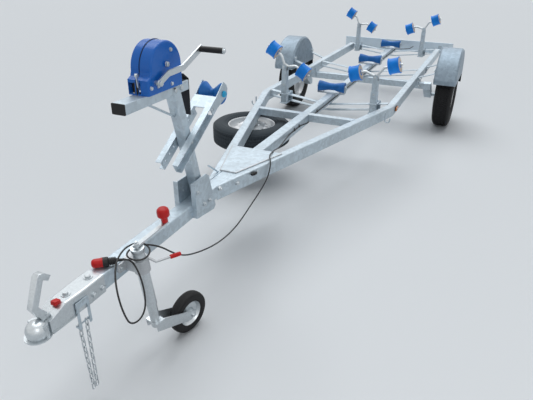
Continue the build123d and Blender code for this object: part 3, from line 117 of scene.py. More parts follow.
overhead = bpy.data.lights.new("overhead", "SUN")
overhead.energy = 2.05
overhead.angle = radians(60)
overhead.color = (0.95, 0.98, 1.0)
overhead_lamp = bpy.data.objects.new("overhead", overhead)
scene.collection.objects.link(overhead_lamp)
overhead_lamp.matrix_world = Matrix.Rotation(radians(-10), 4, "Y") @ Matrix.Rotation(radians(-20), 4, "X")
key = bpy.data.lights.new("key", "AREA")
key.size = 3.2
key.energy = 55
key_lamp = bpy.data.objects.new("key", key)
scene.collection.objects.link(key_lamp)
key_place = Vector((4.2, -5.8, 4.4))
key_turn = (Vector((0, -1.0, 0.5)) - key_place).to_track_quat("-Z", "Y").to_matrix().to_4x4()
key_lamp.matrix_world = Matrix.Translation(key_place) @ key_turn

# Free cable: a black lead of seven cores in a 7 mm sheath. It leaves a clip on the drawbar's side, hangs in
# a long sag, goes once and a half round the jockey wheel's head and ends in its plug on the drawbar's top.
cable_diameter = 0.007
plug_tail = Vector((0.040, -2.561, 0.5293))
plug_head = Vector((-0.032, -2.622, 0.5293))
cable_route = (
    tuple(plug_tail),
    (0.0667, -2.5384, 0.5293),
    (0.094, -2.541, 0.526),
    (0.120, -2.550, 0.508),
    (0.140, -2.557, 0.472),
    (0.151, -2.561, 0.425),
    (0.155, -2.566, 0.375),
    (0.155, -2.578, 0.340),
    (0.152, -2.600, 0.320),
    (0.148, -2.630, 0.318),
    (0.145, -2.657, 0.337),
    (0.142, -2.670, 0.378),
    (0.134, -2.676, 0.430),
    (0.118, -2.667, 0.481),
    (0.094, -2.641, 0.522),
    (0.070, -2.602, 0.548),
    (0.056, -2.556, 0.562),
    (0.053, -2.512, 0.567),
    (0.068, -2.475, 0.567),
    (0.100, -2.461, 0.562),
    (0.132, -2.474, 0.553),
    (0.144, -2.505, 0.544),
    (0.132, -2.537, 0.540),
    (0.098, -2.549, 0.541),
    (0.064, -2.537, 0.543),
    (0.050, -2.505, 0.544),
    (0.056, -2.465, 0.544),
    (0.082, -2.433, 0.540),
    (0.117, -2.391, 0.514),
    (0.130, -2.338, 0.459),
    (0.122, -2.280, 0.412),
    (0.108, -2.218, 0.368),
    (0.100, -2.145, 0.330),
    (0.098, -2.060, 0.298),
    (0.099, -1.970, 0.272),
    (0.100, -1.880, 0.256),
    (0.101, -1.790, 0.251),
    (0.101, -1.700, 0.258),
    (0.101, -1.615, 0.277),
    (0.106, -1.545, 0.306),
    (0.120, -1.485, 0.346),
    (0.141, -1.445, 0.396),
    (0.157, -1.421, 0.452),
    (0.160, -1.403, 0.505),
    (0.144, -1.378, 0.531),
    (0.121, -1.335, 0.526),
    (0.112, -1.280, 0.524),
    (0.104, -1.220, 0.517),
    (0.092, -1.150, 0.499),
    (0.078, -1.075, 0.487),
    (0.062, -0.990, 0.480),
    (0.048, -0.905, 0.4775),
    (0.0388, -0.820, 0.477),
    (0.0388, -0.740, 0.477),
)


def pattern(material, kind, scale, **sockets):
    """Adds a texture of that kind, laid on the piece's own place in metres; returns its node."""
    nodes = material.node_tree.nodes
    texture = nodes.new(f"ShaderNodeTex{kind}")
    texture.inputs["Scale"].default_value = scale
    for socket, value in sockets.items():
        texture.inputs[socket].default_value = value
    place = nodes.new("ShaderNodeTexCoord")
    material.node_tree.links.new(place.outputs["Object"], texture.inputs["Vector"])
    return texture


def emboss(material, height, strength, depth):
    """Raises the surface where an output is high."""
    nodes = material.node_tree.nodes
    links = material.node_tree.links
    bump = nodes.new("ShaderNodeBump")
    bump.inputs["Strength"].default_value = strength
    bump.inputs["Distance"].default_value = depth
    links.new(height, bump.inputs["Height"])
    links.new(bump.outputs["Normal"], nodes["Principled BSDF"].inputs["Normal"])


sheath = new_surface("cable_sheath", (0.010, 0.010, 0.011), 0.5)
sheath_grain = pattern(sheath, "Noise", 900)
emboss(sheath, sheath_grain.outputs["Fac"], strength=0.08, depth=0.0005)

cable_curve = bpy.data.curves.new("free_cable", "CURVE")
cable_curve.dimensions = "3D"
cable_curve.bevel_depth = cable_diameter / 2
cable_curve.bevel_resolution = 4
cable_curve.use_fill_caps = True
spline = cable_curve.splines.new("NURBS")
spline.points.add(len(cable_route) - 1)
for point, spot in zip(spline.points, reversed(cable_route)):
    point.co = (*spot, 1)
spline.order_u = 3
spline.use_endpoint_u = True
spline.resolution_u = 8
cable_curve.materials.append(sheath)
free_cable = bpy.data.objects.new("free_cable", cable_curve)
scene.collection.objects.link(free_cable)
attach(free_cable, "chassis")
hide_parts("cable")

# Plug: black moulded connector with finger ribs and a tapered relief on the cable's side, pushed into a red
# parking cap with a domed end. Both are turned about one axis and lie across the top of the drawbar.
plug_axis = plug_head - plug_tail
plug_joint = plug_axis.length * 0.55
plug_radius = 0.019
rib_count = 4
rib_pitch = 0.006
rib_radius = 0.0150
groove_radius = 0.0132
cap_radius = 0.0178
cap_dome = 0.016


def add_part(shape, part):
    """Adds a part that was made by itself to a shape."""
    mesh = bpy.data.meshes.new("part")
    part.to_mesh(mesh)
    part.free()
    shape.from_mesh(mesh)
    bpy.data.meshes.remove(mesh)


def lathe(shape, profile, centre, axis, steps=48):
    """Turns a profile of (distance along the axis, radius) points right round."""
    axis = Vector(axis).normalized()
    centre = Vector(centre)
    across = axis.orthogonal().normalized()
    corners = [shape.verts.new(centre + axis * along + across * radius) for along, radius in profile]
    edges = [shape.edges.new(pair) for pair in zip(corners, corners[1:])]
    bmesh.ops.spin(shape, geom=corners + edges, cent=centre, axis=axis, angle=2 * pi, steps=steps,
                   use_merge=True)
    bmesh.ops.remove_doubles(shape, verts=shape.verts, dist=1e-6)
    bmesh.ops.recalc_face_normals(shape, faces=shape.faces)


def finish_piece(shape, name, material, body, crease=35):
    """Makes a mesh piece of a finished shape, smooth up to the crease angle, and lets it ride on a body."""
    mesh = bpy.data.meshes.new(name)
    shape.to_mesh(mesh)
    shape.free()
    mesh.shade_smooth()
    mesh.set_sharp_from_angle(angle=radians(crease))
    mesh.materials.append(material)
    piece = bpy.data.objects.new(name, mesh)
    scene.collection.objects.link(piece)
    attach(piece, body)
    return piece


def vary_gloss(material, value, low, high):
    """Lets the roughness run from low to high with an output."""
    nodes = material.node_tree.nodes
    links = material.node_tree.links
    gloss = nodes.new("ShaderNodeMapRange")
    gloss.inputs["To Min"].default_value = low
    gloss.inputs["To Max"].default_value = high
    links.new(value, gloss.inputs["Value"])
    links.new(gloss.outputs[0], nodes["Principled BSDF"].inputs["Roughness"])


def moulded(name, colour, roughness, grain_size=700, grain_height=0.15):
    """Moulded plastic or rubber: a fine even grain and slight change of gloss."""
    material = new_surface(name, colour, roughness)
    shader = material.node_tree.nodes["Principled BSDF"]
    shader.inputs["Specular IOR Level"].default_value = 0.28
    grain = pattern(material, "Noise", grain_size)
    cloud = pattern(material, "Noise", 14, Detail=5)
    vary_gloss(material, cloud.outputs["Fac"], roughness - 0.06, roughness + 0.10)
    emboss(material, grain.outputs["Fac"], grain_height, depth=0.0006)
    return material


black_plastic = moulded("black_plastic", (0.013, 0.013, 0.014), 0.42)
red_plastic = moulded("red_plastic", (0.60, 0.012, 0.012), 0.30)
plug_profile = [(-0.024, 0), (-0.024, 0.0046), (-0.012, 0.0056), (0, 0.0068), (0, 0.0095), (0.004, 0.011)]
for rib in range(rib_count):
    start = rib_pitch * (rib + 1)
    plug_profile += [(start, rib_radius), (start + 0.0035, rib_radius)]
    plug_profile += [(start + 0.0042, groove_radius), (start + 0.0055, groove_radius)]
plug_profile += [(0.032, 0.0175), (0.034, plug_radius), (plug_joint, plug_radius), (plug_joint, 0)]
shape = bmesh.new()
lathe(shape, plug_profile, plug_tail, plug_axis)
plug = finish_piece(shape, "cable_plug", black_plastic, "chassis")
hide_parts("plug")
cap_profile = [(plug_joint, 0), (plug_joint, plug_radius), (plug_joint + 0.006, plug_radius)]
cap_profile += [(plug_joint + 0.0065, cap_radius)]
cap_profile += [(plug_axis.length - cap_dome * (1 - sin(turn)), cap_radius * cos(turn) ** 0.6)
                for turn in (radians(8 * step) for step in range(11))]
cap_profile += [(plug_axis.length, 0)]
shape = bmesh.new()
lathe(shape, cap_profile, plug_tail, plug_axis)
cap = finish_piece(shape, "parking_cap", red_plastic, "chassis")
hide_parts("plug_cap")

# Chassis: square and rectangular steel tube, welded and hot-dip galvanised. Zinc freezes in pale spangles
# with a soft sheen, clouded where it ran off.


def shade_between(material, value, dark, pale, start=0.0, end=1.0):
    """Colours the surface from dark to pale as an output goes from start to end."""
    nodes = material.node_tree.nodes
    links = material.node_tree.links
    ramp = nodes.new("ShaderNodeValToRGB")
    first, last = ramp.color_ramp.elements
    first.position = start
    last.position = end
    first.color = (*dark, 1)
    last.color = (*pale, 1)
    links.new(value, ramp.inputs["Fac"])
    links.new(ramp.outputs["Color"], nodes["Principled BSDF"].inputs["Base Color"])


def galvanised(name, colour, spangle, roughness, contrast, metallic=0.62):
    """Zinc skin: faint faceted spangles, clouds in its colour and gloss, and a slightly uneven surface."""
    material = new_surface(name, colour, roughness, metallic)
    nodes = material.node_tree.nodes
    links = material.node_tree.links
    spangles = pattern(material, "Voronoi", spangle)
    clouds = pattern(material, "Noise", 4.5, Detail=7, Roughness=0.65)
    skin = pattern(material, "Noise", 140, Detail=3)
    facet = nodes.new("ShaderNodeSeparateColor")
    both = nodes.new("ShaderNodeMix")
    both.data_type = "FLOAT"
    both.inputs[0].default_value = 0.70
    links.new(spangles.outputs["Color"], facet.inputs[0])
    links.new(facet.outputs[0], both.inputs[2])
    links.new(clouds.outputs["Fac"], both.inputs[3])
    dark = [part * (1 - 1.6 * contrast) for part in colour]
    pale = [min(1, part * (1 + contrast)) for part in colour]
    shade_between(material, both.outputs[0], dark, pale, start=0.30, end=0.72)
    vary_gloss(material, clouds.outputs["Fac"], roughness - 0.05, roughness + 0.09)
    emboss(material, skin.outputs["Fac"], strength=0.05, depth=0.001)
    return material


def dress(material, *names):
    """Gives CAD nodes their material."""
    for name in names:
        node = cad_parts[name]
        node.data.materials.clear()
        node.data.materials.append(material)


zinc_skin = galvanised("galvanised", (0.51, 0.59, 0.65), spangle=55, roughness=0.42, contrast=0.10)
dress(zinc_skin, "drawbar", "side_rails", "spine", "crossmembers", "gusset_plates", "chain_bracket",
      "drawbar_cheeks", "winch_post", "winch_beam", "post_brace", "bow_stop", "spare_carrier", "axle",
      "trailing_arms", "mudguard_stays", "keel_brackets", "roller_posts")
dress(black_plastic, "end_caps")
dress(sheath, "cable_run")

# Weld beads: a round bead along the end of each straight crossmember where it meets the rails, and one along
# the edges of the upper gusset plate, all of them galvanised over.
weld_x = 0.4962
weld_half = 0.0255
weld_foot = 0.464
weld_shoulder = 0.508
weld_top = 0.5103
weld_corner = 0.002
gusset_bead = ((-0.1613, -1.2500, 0.5130), (-0.0455, -1.6105, 0.5130), (0.0455, -1.6105, 0.5130),
               (0.1613, -1.2500, 0.5130))


def facing(spot, direction):
    """Matrix that stands a shape at a spot with its Z along a direction."""
    return Matrix.Translation(spot) @ Vector(direction).to_track_quat("Z", "Y").to_matrix().to_4x4()


def bent_rod(shape, points, radius, sides=8):
    """Round bar through the points, with a ring of its section at each, closed at both ends."""
    spots = [Vector(point) for point in points]
    rings = []
    for index, spot in enumerate(spots):
        ahead = spots[min(index + 1, len(spots) - 1)] - spots[max(index - 1, 0)]
        capped = index in (0, len(spots) - 1)
        ring = bmesh.ops.create_circle(shape, cap_ends=capped, segments=sides, radius=radius,
                                       matrix=facing(spot, ahead))["verts"]
        rings.append([edge for edge in {edge for vert in ring for edge in vert.link_edges}
                      if all(vert in ring for vert in edge.verts)])
    for first, second in zip(rings, rings[1:]):
        bmesh.ops.bridge_loops(shape, edges=first + second)
    bmesh.ops.recalc_face_normals(shape, faces=shape.faces)


cast_zinc = galvanised("cast_clamp", (0.50, 0.52, 0.54), spangle=500, roughness=0.46, contrast=0.09,
                       metallic=0.6)
shape = bmesh.new()
for cross_y in (0.0942, 1.420, 2.648):
    for side in (-1, 1):
        bead = [(side * weld_x, cross_y - along, height) for along, height in
                ((weld_half, weld_foot), (weld_half, weld_shoulder), (weld_half - weld_corner, weld_top),
                 (weld_corner - weld_half, weld_top), (-weld_half, weld_shoulder), (-weld_half, weld_foot))]
        bent_rod(shape, bead, 0.0028)
bent_rod(shape, gusset_bead, 0.0042)
finish_piece(shape, "weld_beads", cast_zinc, "chassis")

# Coupling: pressed head with a domed nose over the tow ball, bright zinc plated. Bolts through its sides and
# its top hold it to the drawbar, and a rivet each side is the lever's pivot.
bright_zinc = galvanised("zinc_plate", (0.56, 0.60, 0.625), spangle=160, roughness=0.28, contrast=0.06,
                         metallic=0.85)
dress(bright_zinc, "coupling_head")
# a bolt's parts, as shares of its thread: corners, radius at the foot and at the top, middle and height
washer_part = (24, 1, 0.96, 0.08, 0.16)
head_part = (6, 0.92, 0.92, 0.25, 0.50)
chamfer_part = (6, 0.92, 0.74, 0.57, 0.14)
end_part = (16, 0.50, 0.42, 0.95, 0.60)


def bolt_part(shape, seat, direction, size, corners, foot, top, middle, height):
    """One round or six-sided part of a bolt, with its middle that far above the seat."""
    bmesh.ops.create_cone(shape, cap_ends=True, segments=corners, radius1=size * foot, radius2=size * top,
                          depth=size * height, matrix=facing(seat + direction * size * middle, direction))


def bolt_head(shape, spot, direction, size, washer=True):
    """Hexagon head of a bolt of that thread size, seated at a spot with a washer under it."""
    direction = Vector(direction).normalized()
    seat = Vector(spot)
    if washer:
        bolt_part(shape, seat, direction, size, *washer_part)
        seat = seat + direction * size * washer_part[-1]
    bolt_part(shape, seat, direction, size, *head_part)
    bolt_part(shape, seat, direction, size, *chamfer_part)


def nut_with_end(shape, spot, direction, size):
    """Nut with the bolt's end standing out of it."""
    direction = Vector(direction).normalized()
    bolt_head(shape, spot, direction, size)
    bolt_part(shape, Vector(spot), direction, size, *end_part)


shape = bmesh.new()
for bolt_y in (-2.700, -2.655):
    for side in (-1, 1):
        bolt_head(shape, (side * 0.040, bolt_y, 0.466), (side, 0, 0), 0.012)
for bolt_y in (-2.788, -2.678):
    lathe(shape, ((0, 0.004), (0, 0.0165), (0.0012, 0.0170), (0.0026, 0.0165), (0.0026, 0.004)),
          (0, bolt_y, 0.515), (0, 0, 1), 32)
    bolt_head(shape, (0, bolt_y, 0.5176), (0, 0, 1), 0.012, washer=False)
for side in (-1, 1):
    lathe(shape, ((0, 0), (0, 0.0075), (0.003, 0.0075), (0.0045, 0.005), (0.0045, 0)),
          (side * 0.0128, -2.882, 0.504), (side, 0, 0), 24)
finish_piece(shape, "coupling_bolts", bright_zinc, "chassis", 20)

# Coupling's lever: sheet pressed into a channel, open to the rear, with rolled edges and a rounded top.
# Its side is drawn, pulled across to its width and hollowed from the rear.
lever_width = 0.026
lever_wall = 0.004
lever_edge = 0.0022
lever_back = ((-2.870, 0.631), (-2.908, 0.551), (-2.868, 0.4935))
lever_outline = (
    # along the trailer, height
    (-2.903, 0.489), (-2.934, 0.553), (-2.890, 0.652), (-2.880, 0.659), (-2.862, 0.655), (-2.837, 0.631),
    (-2.851, 0.617), *lever_back,
)


def verts_of(parts):
    """The vertices among the parts that an operator returns."""
    return [part for part in parts if isinstance(part, bmesh.types.BMVert)]


def soften(shape, edges, radius, segments=3):
    """Rounds edges to a radius."""
    bmesh.ops.bevel(shape, geom=edges, offset=radius, segments=segments, affect="EDGES", profile=0.5,
                    material=-1)


shape = bmesh.new()
corners = [shape.verts.new((-lever_width / 2, along, height)) for along, height in lever_outline]
drawn_side = shape.faces.new(corners)
pulled = bmesh.ops.extrude_face_region(shape, geom=[drawn_side])["geom"]
bmesh.ops.translate(shape, verts=verts_of(pulled), vec=(lever_width, 0, 0))
bmesh.ops.recalc_face_normals(shape, faces=shape.faces)
open_faces = [face for face in shape.faces if abs(face.normal.x) < 0.1
              and all((round(vert.co.y, 4), round(vert.co.z, 4)) in lever_back for vert in face.verts)]
bmesh.ops.inset_region(shape, faces=open_faces, thickness=lever_wall, depth=0)
hollow = bmesh.ops.extrude_face_region(shape, geom=open_faces)["geom"]
bmesh.ops.delete(shape, geom=open_faces, context="FACES_ONLY")
bmesh.ops.translate(shape, verts=verts_of(hollow), vec=(0, -0.0130, 0.0035))
flat_sides = [face for face in shape.faces if abs(face.calc_center_median().x) > 0.49 * lever_width]
soften(shape, [edge for face in flat_sides for edge in face.edges], lever_edge)
bmesh.ops.recalc_face_normals(shape, faces=shape.faces)
lever = finish_piece(shape, "coupling_lever", bright_zinc, "chassis", 40)
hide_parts("coupling_handle")

# Release catch: moulded red button on top of the coupling, behind the lever's foot. Its edges are rounded,
# and a shallow thumb dish is pressed into its top.
catch_size = (0.022, 0.026, 0.016)
catch_turn = Matrix.Rotation(radians(-12), 4, "X")
catch_edge = 0.0022
shape = bmesh.new()
bmesh.ops.create_cube(shape, size=1, matrix=Matrix.Translation((0.004, -2.836, 0.5175)) @ catch_turn
                      @ Matrix.Diagonal((*catch_size, 1)))
top = [max(shape.faces, key=lambda face: face.calc_center_median().z)]
bmesh.ops.inset_region(shape, faces=top, thickness=0.004, depth=0)
bmesh.ops.translate(shape, verts=top[0].verts, vec=(0, 0, -0.0025))
soften(shape, shape.edges[:], catch_edge)
finish_piece(shape, "release_button", red_plastic, "chassis")

# Safety chain: two strands of welded round-wire links that hang from the bow under the coupling. Every other
# link is turned by a right angle, and the strands draw together towards their ends.
chain_wire = 0.0025
chain_half_width = 0.006
chain_half_straight = 0.0100
chain_pitch = 0.0266
chain_links = 12
chain_start = Vector((0.028, -2.763, 0.3718))
chain_spread = 0.034
chain_narrowing = 0.015


def chain_link(shape, centre, turned):
    """One link: a ring of wire spun round both ends and drawn straight between them."""
    turn = Matrix.Translation(centre) @ Matrix.Rotation(pi / 2 if turned else 0, 4, "Z")
    start = turn @ Matrix.Translation((chain_half_width, 0, chain_half_straight))
    ring = bmesh.ops.create_circle(shape, segments=8, radius=chain_wire, matrix=start)["verts"]
    first = {edge for vert in ring for edge in vert.link_edges}
    loop = list(ring) + list(first)
    axis = turn.to_3x3() @ Vector((0, -1, 0))
    for end in (1, -1):
        cent = turn @ Vector((0, 0, end * chain_half_straight))
        loop = bmesh.ops.spin(shape, geom=loop, cent=cent, axis=axis, angle=pi, steps=7)["geom_last"]
        edges = [part for part in loop if isinstance(part, bmesh.types.BMEdge)]
        if end == 1:
            pulled = bmesh.ops.extrude_edge_only(shape, edges=edges)["geom"]
            verts = verts_of(pulled)
            bmesh.ops.translate(shape, verts=verts, vec=(0, 0, -2 * chain_half_straight))
            loop = verts + [part for part in pulled if isinstance(part, bmesh.types.BMEdge)
                            and all(vert in verts for vert in part.verts)]
    bmesh.ops.bridge_loops(shape, edges=edges + list(first))


shape = bmesh.new()
for index in range(chain_links):
    spread = chain_spread - chain_narrowing * index / (chain_links - 1)
    for side in (-1, 1):
        spot = chain_start + Vector((0, side * spread / 2, -index * chain_pitch))
        chain_link(shape, spot, index % 2 == 1)
bmesh.ops.recalc_face_normals(shape, faces=shape.faces)
chain = finish_piece(shape, "chain_links", bright_zinc, "chassis", 60)
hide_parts("safety_chain")

# Winch: zinc-plated drum, gear, crank and ratchet lever under two glossy blue covers. Three small bolts and
# the drum's pin go through the covers, and two bolts each side hold the winch's foot to the beam.
dress(bright_zinc, "winch_drum", "winch_crank", "ratchet_lever")
blue_cover = moulded("blue_cover", (0.012, 0.145, 0.56), 0.22, grain_size=500, grain_height=0.04)
dress(blue_cover, "winch_cover")
dress(black_plastic, "crank_grip")
winch_bolts = (
    # distance out, place along the trailer, height, thread
    (0.048, -2.128, 1.106, 0.008),
    (0.048, -2.262, 1.116, 0.008),
    (0.048, -2.120, 1.236, 0.008),
    (0.054, -2.160, 1.188, 0.011),
    (0.030, -2.085, 1.067, 0.011),
    (0.030, -2.040, 1.067, 0.011),
)
shape = bmesh.new()
for out, bolt_y, bolt_z, thread in winch_bolts:
    for side in (-1, 1):
        bolt_head(shape, (side * out, bolt_y, bolt_z), (side, 0, 0), thread)
finish_piece(shape, "winch_bolts", bright_zinc, "chassis", 20)

# Seam: a thin black bead lies beside the rib where the cover's two halves meet, a painted shadow line along
# the parting gap there. It goes over the round of the cover and down both of its ends.
seam_x = -0.0048
seam_middle = (-2.152, 1.172)
seam_radius = 0.1025
seam_line = [(seam_x, -2.0495, 1.1050), (seam_x, -2.0495, 1.172)]
seam_line += [(seam_x, seam_middle[0] + seam_radius * cos(turn), seam_middle[1] + seam_radius * sin(turn))
              for turn in (radians(9 * step) for step in range(1, 20))]
seam_line += [(seam_x, -2.2545, 1.172), (seam_x, -2.2605, 1.1565), (seam_x, -2.2803, 1.1462),
              (seam_x, -2.2803, 1.089)]
shape = bmesh.new()
bent_rod(shape, seam_line, 0.0016)
finish_piece(shape, "cover_seam_shadow_line", black_plastic, "chassis")

# Opening's liner and painted shade: the strap's opening in the cover has a black moulded guide beside it,
# and a black sheet inside is painted shade for the dark inside of the opening; it keeps the gears out of
# sight.


def rounded_block(shape, centre, size, corner, upright):
    """Block with rounded upright corners and a small soft edge all round."""
    block = bmesh.new()
    bmesh.ops.create_cube(block, size=1, matrix=Matrix.Translation(centre) @ Matrix.Diagonal((*size, 1)))
    edges = [edge for edge in block.edges
             if abs((edge.verts[0].co - edge.verts[1].co).normalized().dot(Vector(upright))) > 0.9]
    soften(block, edges, corner, 5)
    front = [edge for edge in block.edges if edge.calc_face_angle(0) > radians(60)]
    soften(block, front, min(0.002, min(size) / 4), 2)
    add_part(shape, block)


shape = bmesh.new()
rounded_block(shape, (-0.0062, -2.2813, 1.1160), (0.0170, 0.0026, 0.0440), 0.0020, (0, 1, 0))
# the black sheet inside the opening: painted shade
rounded_block(shape, (-0.0240, -2.2620, 1.1150), (0.0300, 0.0020, 0.0480), 0.0040, (0, 1, 0))
finish_piece(shape, "cover_guide_and_shade_sheet", black_plastic, "chassis")

# Crank's nut and the grip's bolt: a nut holds the arm on the pinion's square, and the grip turns on a bolt
# whose washer shows at its outer end.
shape = bmesh.new()
bolt_head(shape, (0.068, -2.232, 1.131), (1, 0, 0), 0.013)
lathe(shape, ((0, 0), (0, 0.0125), (0.002, 0.0125), (0.002, 0.008), (0.0065, 0.007), (0.008, 0)),
      (0.211, -1.992, 1.222), (1, 0, 0), 32)
finish_piece(shape, "crank_bolts", bright_zinc, "crank", 20)

# Winch strap: woven polyester webbing. Fine ribs lie across it, one above another where it hangs.
webbing = new_surface("webbing", (0.020, 0.022, 0.030), 0.85)
strap_ribs = pattern(webbing, "Wave", 180)
strap_ribs.bands_direction = "Z"
emboss(webbing, strap_ribs.outputs["Fac"], strength=0.5, depth=0.001)
dress(webbing, "winch_strap")

# Winch post's foot: bolts through the pressed cheeks into the drawbar, with a washer and nut each side.
# Two more each side hold the rails' mitred ends to the drawbar.
cheek_bolts = ((-1.985, 0.560), (-1.930, 0.475), (-1.880, 0.475))
rail_end_bolts = ((0.0414, -1.776, 0.492), (0.0761, -1.653, 0.478))
rail_run = Vector((0.2717, 0.9624, 0))
rail_out = Vector((0.9624, -0.2717, 0))
shape = bmesh.new()
for side in (-1, 1):
    for bolt_y, bolt_z in cheek_bolts:
        nut_with_end(shape, (side * 0.040, bolt_y, bolt_z), (side, 0, 0), 0.012)
    for bolt_x, bolt_y, bolt_z in rail_end_bolts:
        nut_with_end(shape, (side * bolt_x, bolt_y, bolt_z), (side * rail_out.x, rail_out.y, 0), 0.013)
finish_piece(shape, "cheek_bolts", bright_zinc, "chassis", 20)

# Bow stop: bolts hold the two channels and the spacers to the post. The roller's pin is a long bolt, with
# its head and washer at one end and a light blue cap over the other.
stop_rise = radians(31.5)
stop_along = Vector((0, cos(stop_rise), sin(stop_rise)))
stop_normal = Vector((0, -sin(stop_rise), cos(stop_rise)))
stop_foot = Vector((0, -2.133, 0.738))
pin_spot = stop_foot + stop_along * 0.463 - stop_normal * 0.012
pin_half = Vector((0.0585, 0, 0))
shape = bmesh.new()
for distance, size in ((0.150, 0.012), (0.230, 0.010)):
    for side in (-1, 1):
        spot = stop_foot + stop_along * distance + stop_normal * 0.002 + Vector((side * 0.033, 0, 0))
        nut_with_end(shape, spot, (side, 0, 0), size)
bolt_head(shape, pin_spot - pin_half, (-1, 0, 0), 0.014)
finish_piece(shape, "bow_stop_bolts", bright_zinc, "chassis", 20)
cap_blue = moulded("cap_blue", (0.03, 0.42, 0.72), 0.35, grain_size=400, grain_height=0.05)
shape = bmesh.new()
lathe(shape, ((0, 0.0082), (0, 0.015), (0.007, 0.015), (0.0105, 0.012), (0.0118, 0.006), (0.0120, 0)),
      pin_spot + pin_half, (1, 0, 0), 32)
finish_piece(shape, "bow_pin_cap", cap_blue, "chassis")

# Rollers: cast rubber, bright blue on the sides and darker on the keel and at the bow, all a little worn.
# Each side roller turns on the end of a rocker's axle between cream rings, and the rocker tilts on its post.


def roller_rubber(name, colour, roughness):
    """Cast rubber: moulded, with a soft cloud in its colour where it is worn."""
    material = moulded(name, colour, roughness, grain_size=350, grain_height=0.10)
    wear = pattern(material, "Noise", 18, Detail=6)
    dark = [0.82 * part for part in colour]
    pale = [min(1, 1.15 * part + 0.012) for part in colour]
    shade_between(material, wear.outputs["Fac"], dark, pale, start=0.35, end=0.75)
    return material


side_blue = roller_rubber("side_roller_blue", (0.001, 0.270, 0.97), 0.36)
keel_blue = roller_rubber("keel_roller_blue", (0.014, 0.165, 0.52), 0.42)
hub_cream = roller_rubber("roller_hub", (0.70, 0.58, 0.47), 0.45)
dress(keel_blue, "keel_roller_front", "keel_roller_middle", "keel_roller_rear", "bow_roller")
axle_rise = 0.056
axle_reach = 0.2035
roller_reach = 0.150
roller_half = 0.0402
bearing_half = 0.035
clamp_depth = 0.0813
clamp_half_width = 0.028
clamp_half_height = 0.037
ring_profile = ((0, 0.0242), (0, 0.0545), (0.0014, 0.0545), (0.0022, 0.052), (0.0012, 0.043),
                (0.0022, 0.031), (0.0022, 0.0242), (0, 0.0242))
roller_stations = (
    # name, side, post's place along the trailer, distance out, pivot height, axle's tilt, clamp height
    ("front_left", 1, 0.0439, 0.390, 0.714, 16, 0.4711),
    ("front_right", -1, 0.0439, 0.357, 0.724, 31, 0.4667),
    ("rear_left", 1, 2.5977, 0.348, 0.736, 22, 0.4656),
    ("rear_right", -1, 2.5977, 0.430, 0.744, 29, 0.4763),
)
post_fixings = bmesh.new()
for name, side, post_y, distance, pivot_z, tilt, clamp_z in roller_stations:
    dress(side_blue, f"rollers_{name}")
    dress(bright_zinc, f"rocker_{name}")
    slope = radians(tilt) * side
    along = Vector((cos(slope), 0, sin(slope)))
    pivot = Vector((side * distance, post_y, pivot_z))
    middle = pivot + axle_rise * Vector((-sin(slope), 0, cos(slope)))
    rings = bmesh.new()
    tips = bmesh.new()
    for end in (-1, 1):
        for face in (-1, 1):
            start = middle + along * (end * roller_reach + face * roller_half)
            lathe(rings, ring_profile, start, along * face, 40)
        bolt_head(tips, middle + along * (end * axle_reach), along * end, 0.0095)
        bearing_end = pivot + Vector((0, end * bearing_half, 0))
        bolt_head(post_fixings, bearing_end, (0, end, 0), 0.011, washer=False)
        for out in (-clamp_half_width, clamp_half_width):
            spot = (pivot.x + out, post_y + clamp_depth, clamp_z + end * clamp_half_height)
            bolt_head(post_fixings, spot, (0, 1, 0), 0.0085)
    bolt_head(post_fixings, (pivot.x, post_y - 0.025, 0.582), (0, -1, 0), 0.009)
    finish_piece(rings, f"roller_hubs_{name}", hub_cream, f"rollers_{name}", 40)
    finish_piece(tips, f"rocker_bolts_{name}", bright_zinc, f"rocker_{name}", 20)
finish_piece(post_fixings, "roller_post_bolts", bright_zinc, "chassis", 20)

# Keel rollers' pins: a washer and split pin at each end of the pin, and bolts through the brackets' saddles
# into the spine.
pin_height = 0.562
shape = bmesh.new()
for keel_y in (0.20124, 1.493, 2.500):
    for side in (-1, 1):
        lathe(shape, ((0, 0.0092), (0, 0.017), (0.0022, 0.017), (0.0022, 0.0092), (0, 0.0092)),
              (side * 0.1172, keel_y, pin_height), (side, 0, 0), 28)
        bmesh.ops.create_cone(shape, cap_ends=True, segments=10, radius1=0.0018, radius2=0.0018, depth=0.030,
                              matrix=Matrix.Translation((side * 0.1225, keel_y, pin_height)))
        bolt_head(shape, (side * 0.070, keel_y, 0.515), (0, 0, 1), 0.009)
finish_piece(shape, "keel_pins", bright_zinc, "chassis", 20)

# Jockey wheel: zinc-plated telescopic tubes in a cast clamp, and a pressed fork. The winding knob is a red
# mushroom, and the sleeve on the clamp's bent lever is ribbed and red too.
dress(cast_zinc, "jockey_clamp")
dress(bright_zinc, "jockey_tube", "jockey_leg", "jockey_fork", "jockey_rim")
leg_x, leg_y, leg_z = 0.098, -2.448, 0.14083
leg_lean = radians(8)
fork_turn = radians(12)
sleeve_ribs = 5
sleeve_pitch = 0.0072


def leg_point(x, y, h):
    """Point beside the jockey wheel's leg, a height up its leaning axis."""
    return Vector((leg_x + x, leg_y - h * sin(leg_lean) + y * cos(leg_lean),
                   leg_z + h * cos(leg_lean) + y * sin(leg_lean)))


def fork_point(x, y, h):
    """Point by the fork, which is turned a little about the leg."""
    return leg_point(x * cos(fork_turn) + y * sin(fork_turn), y * cos(fork_turn) - x * sin(fork_turn), h)


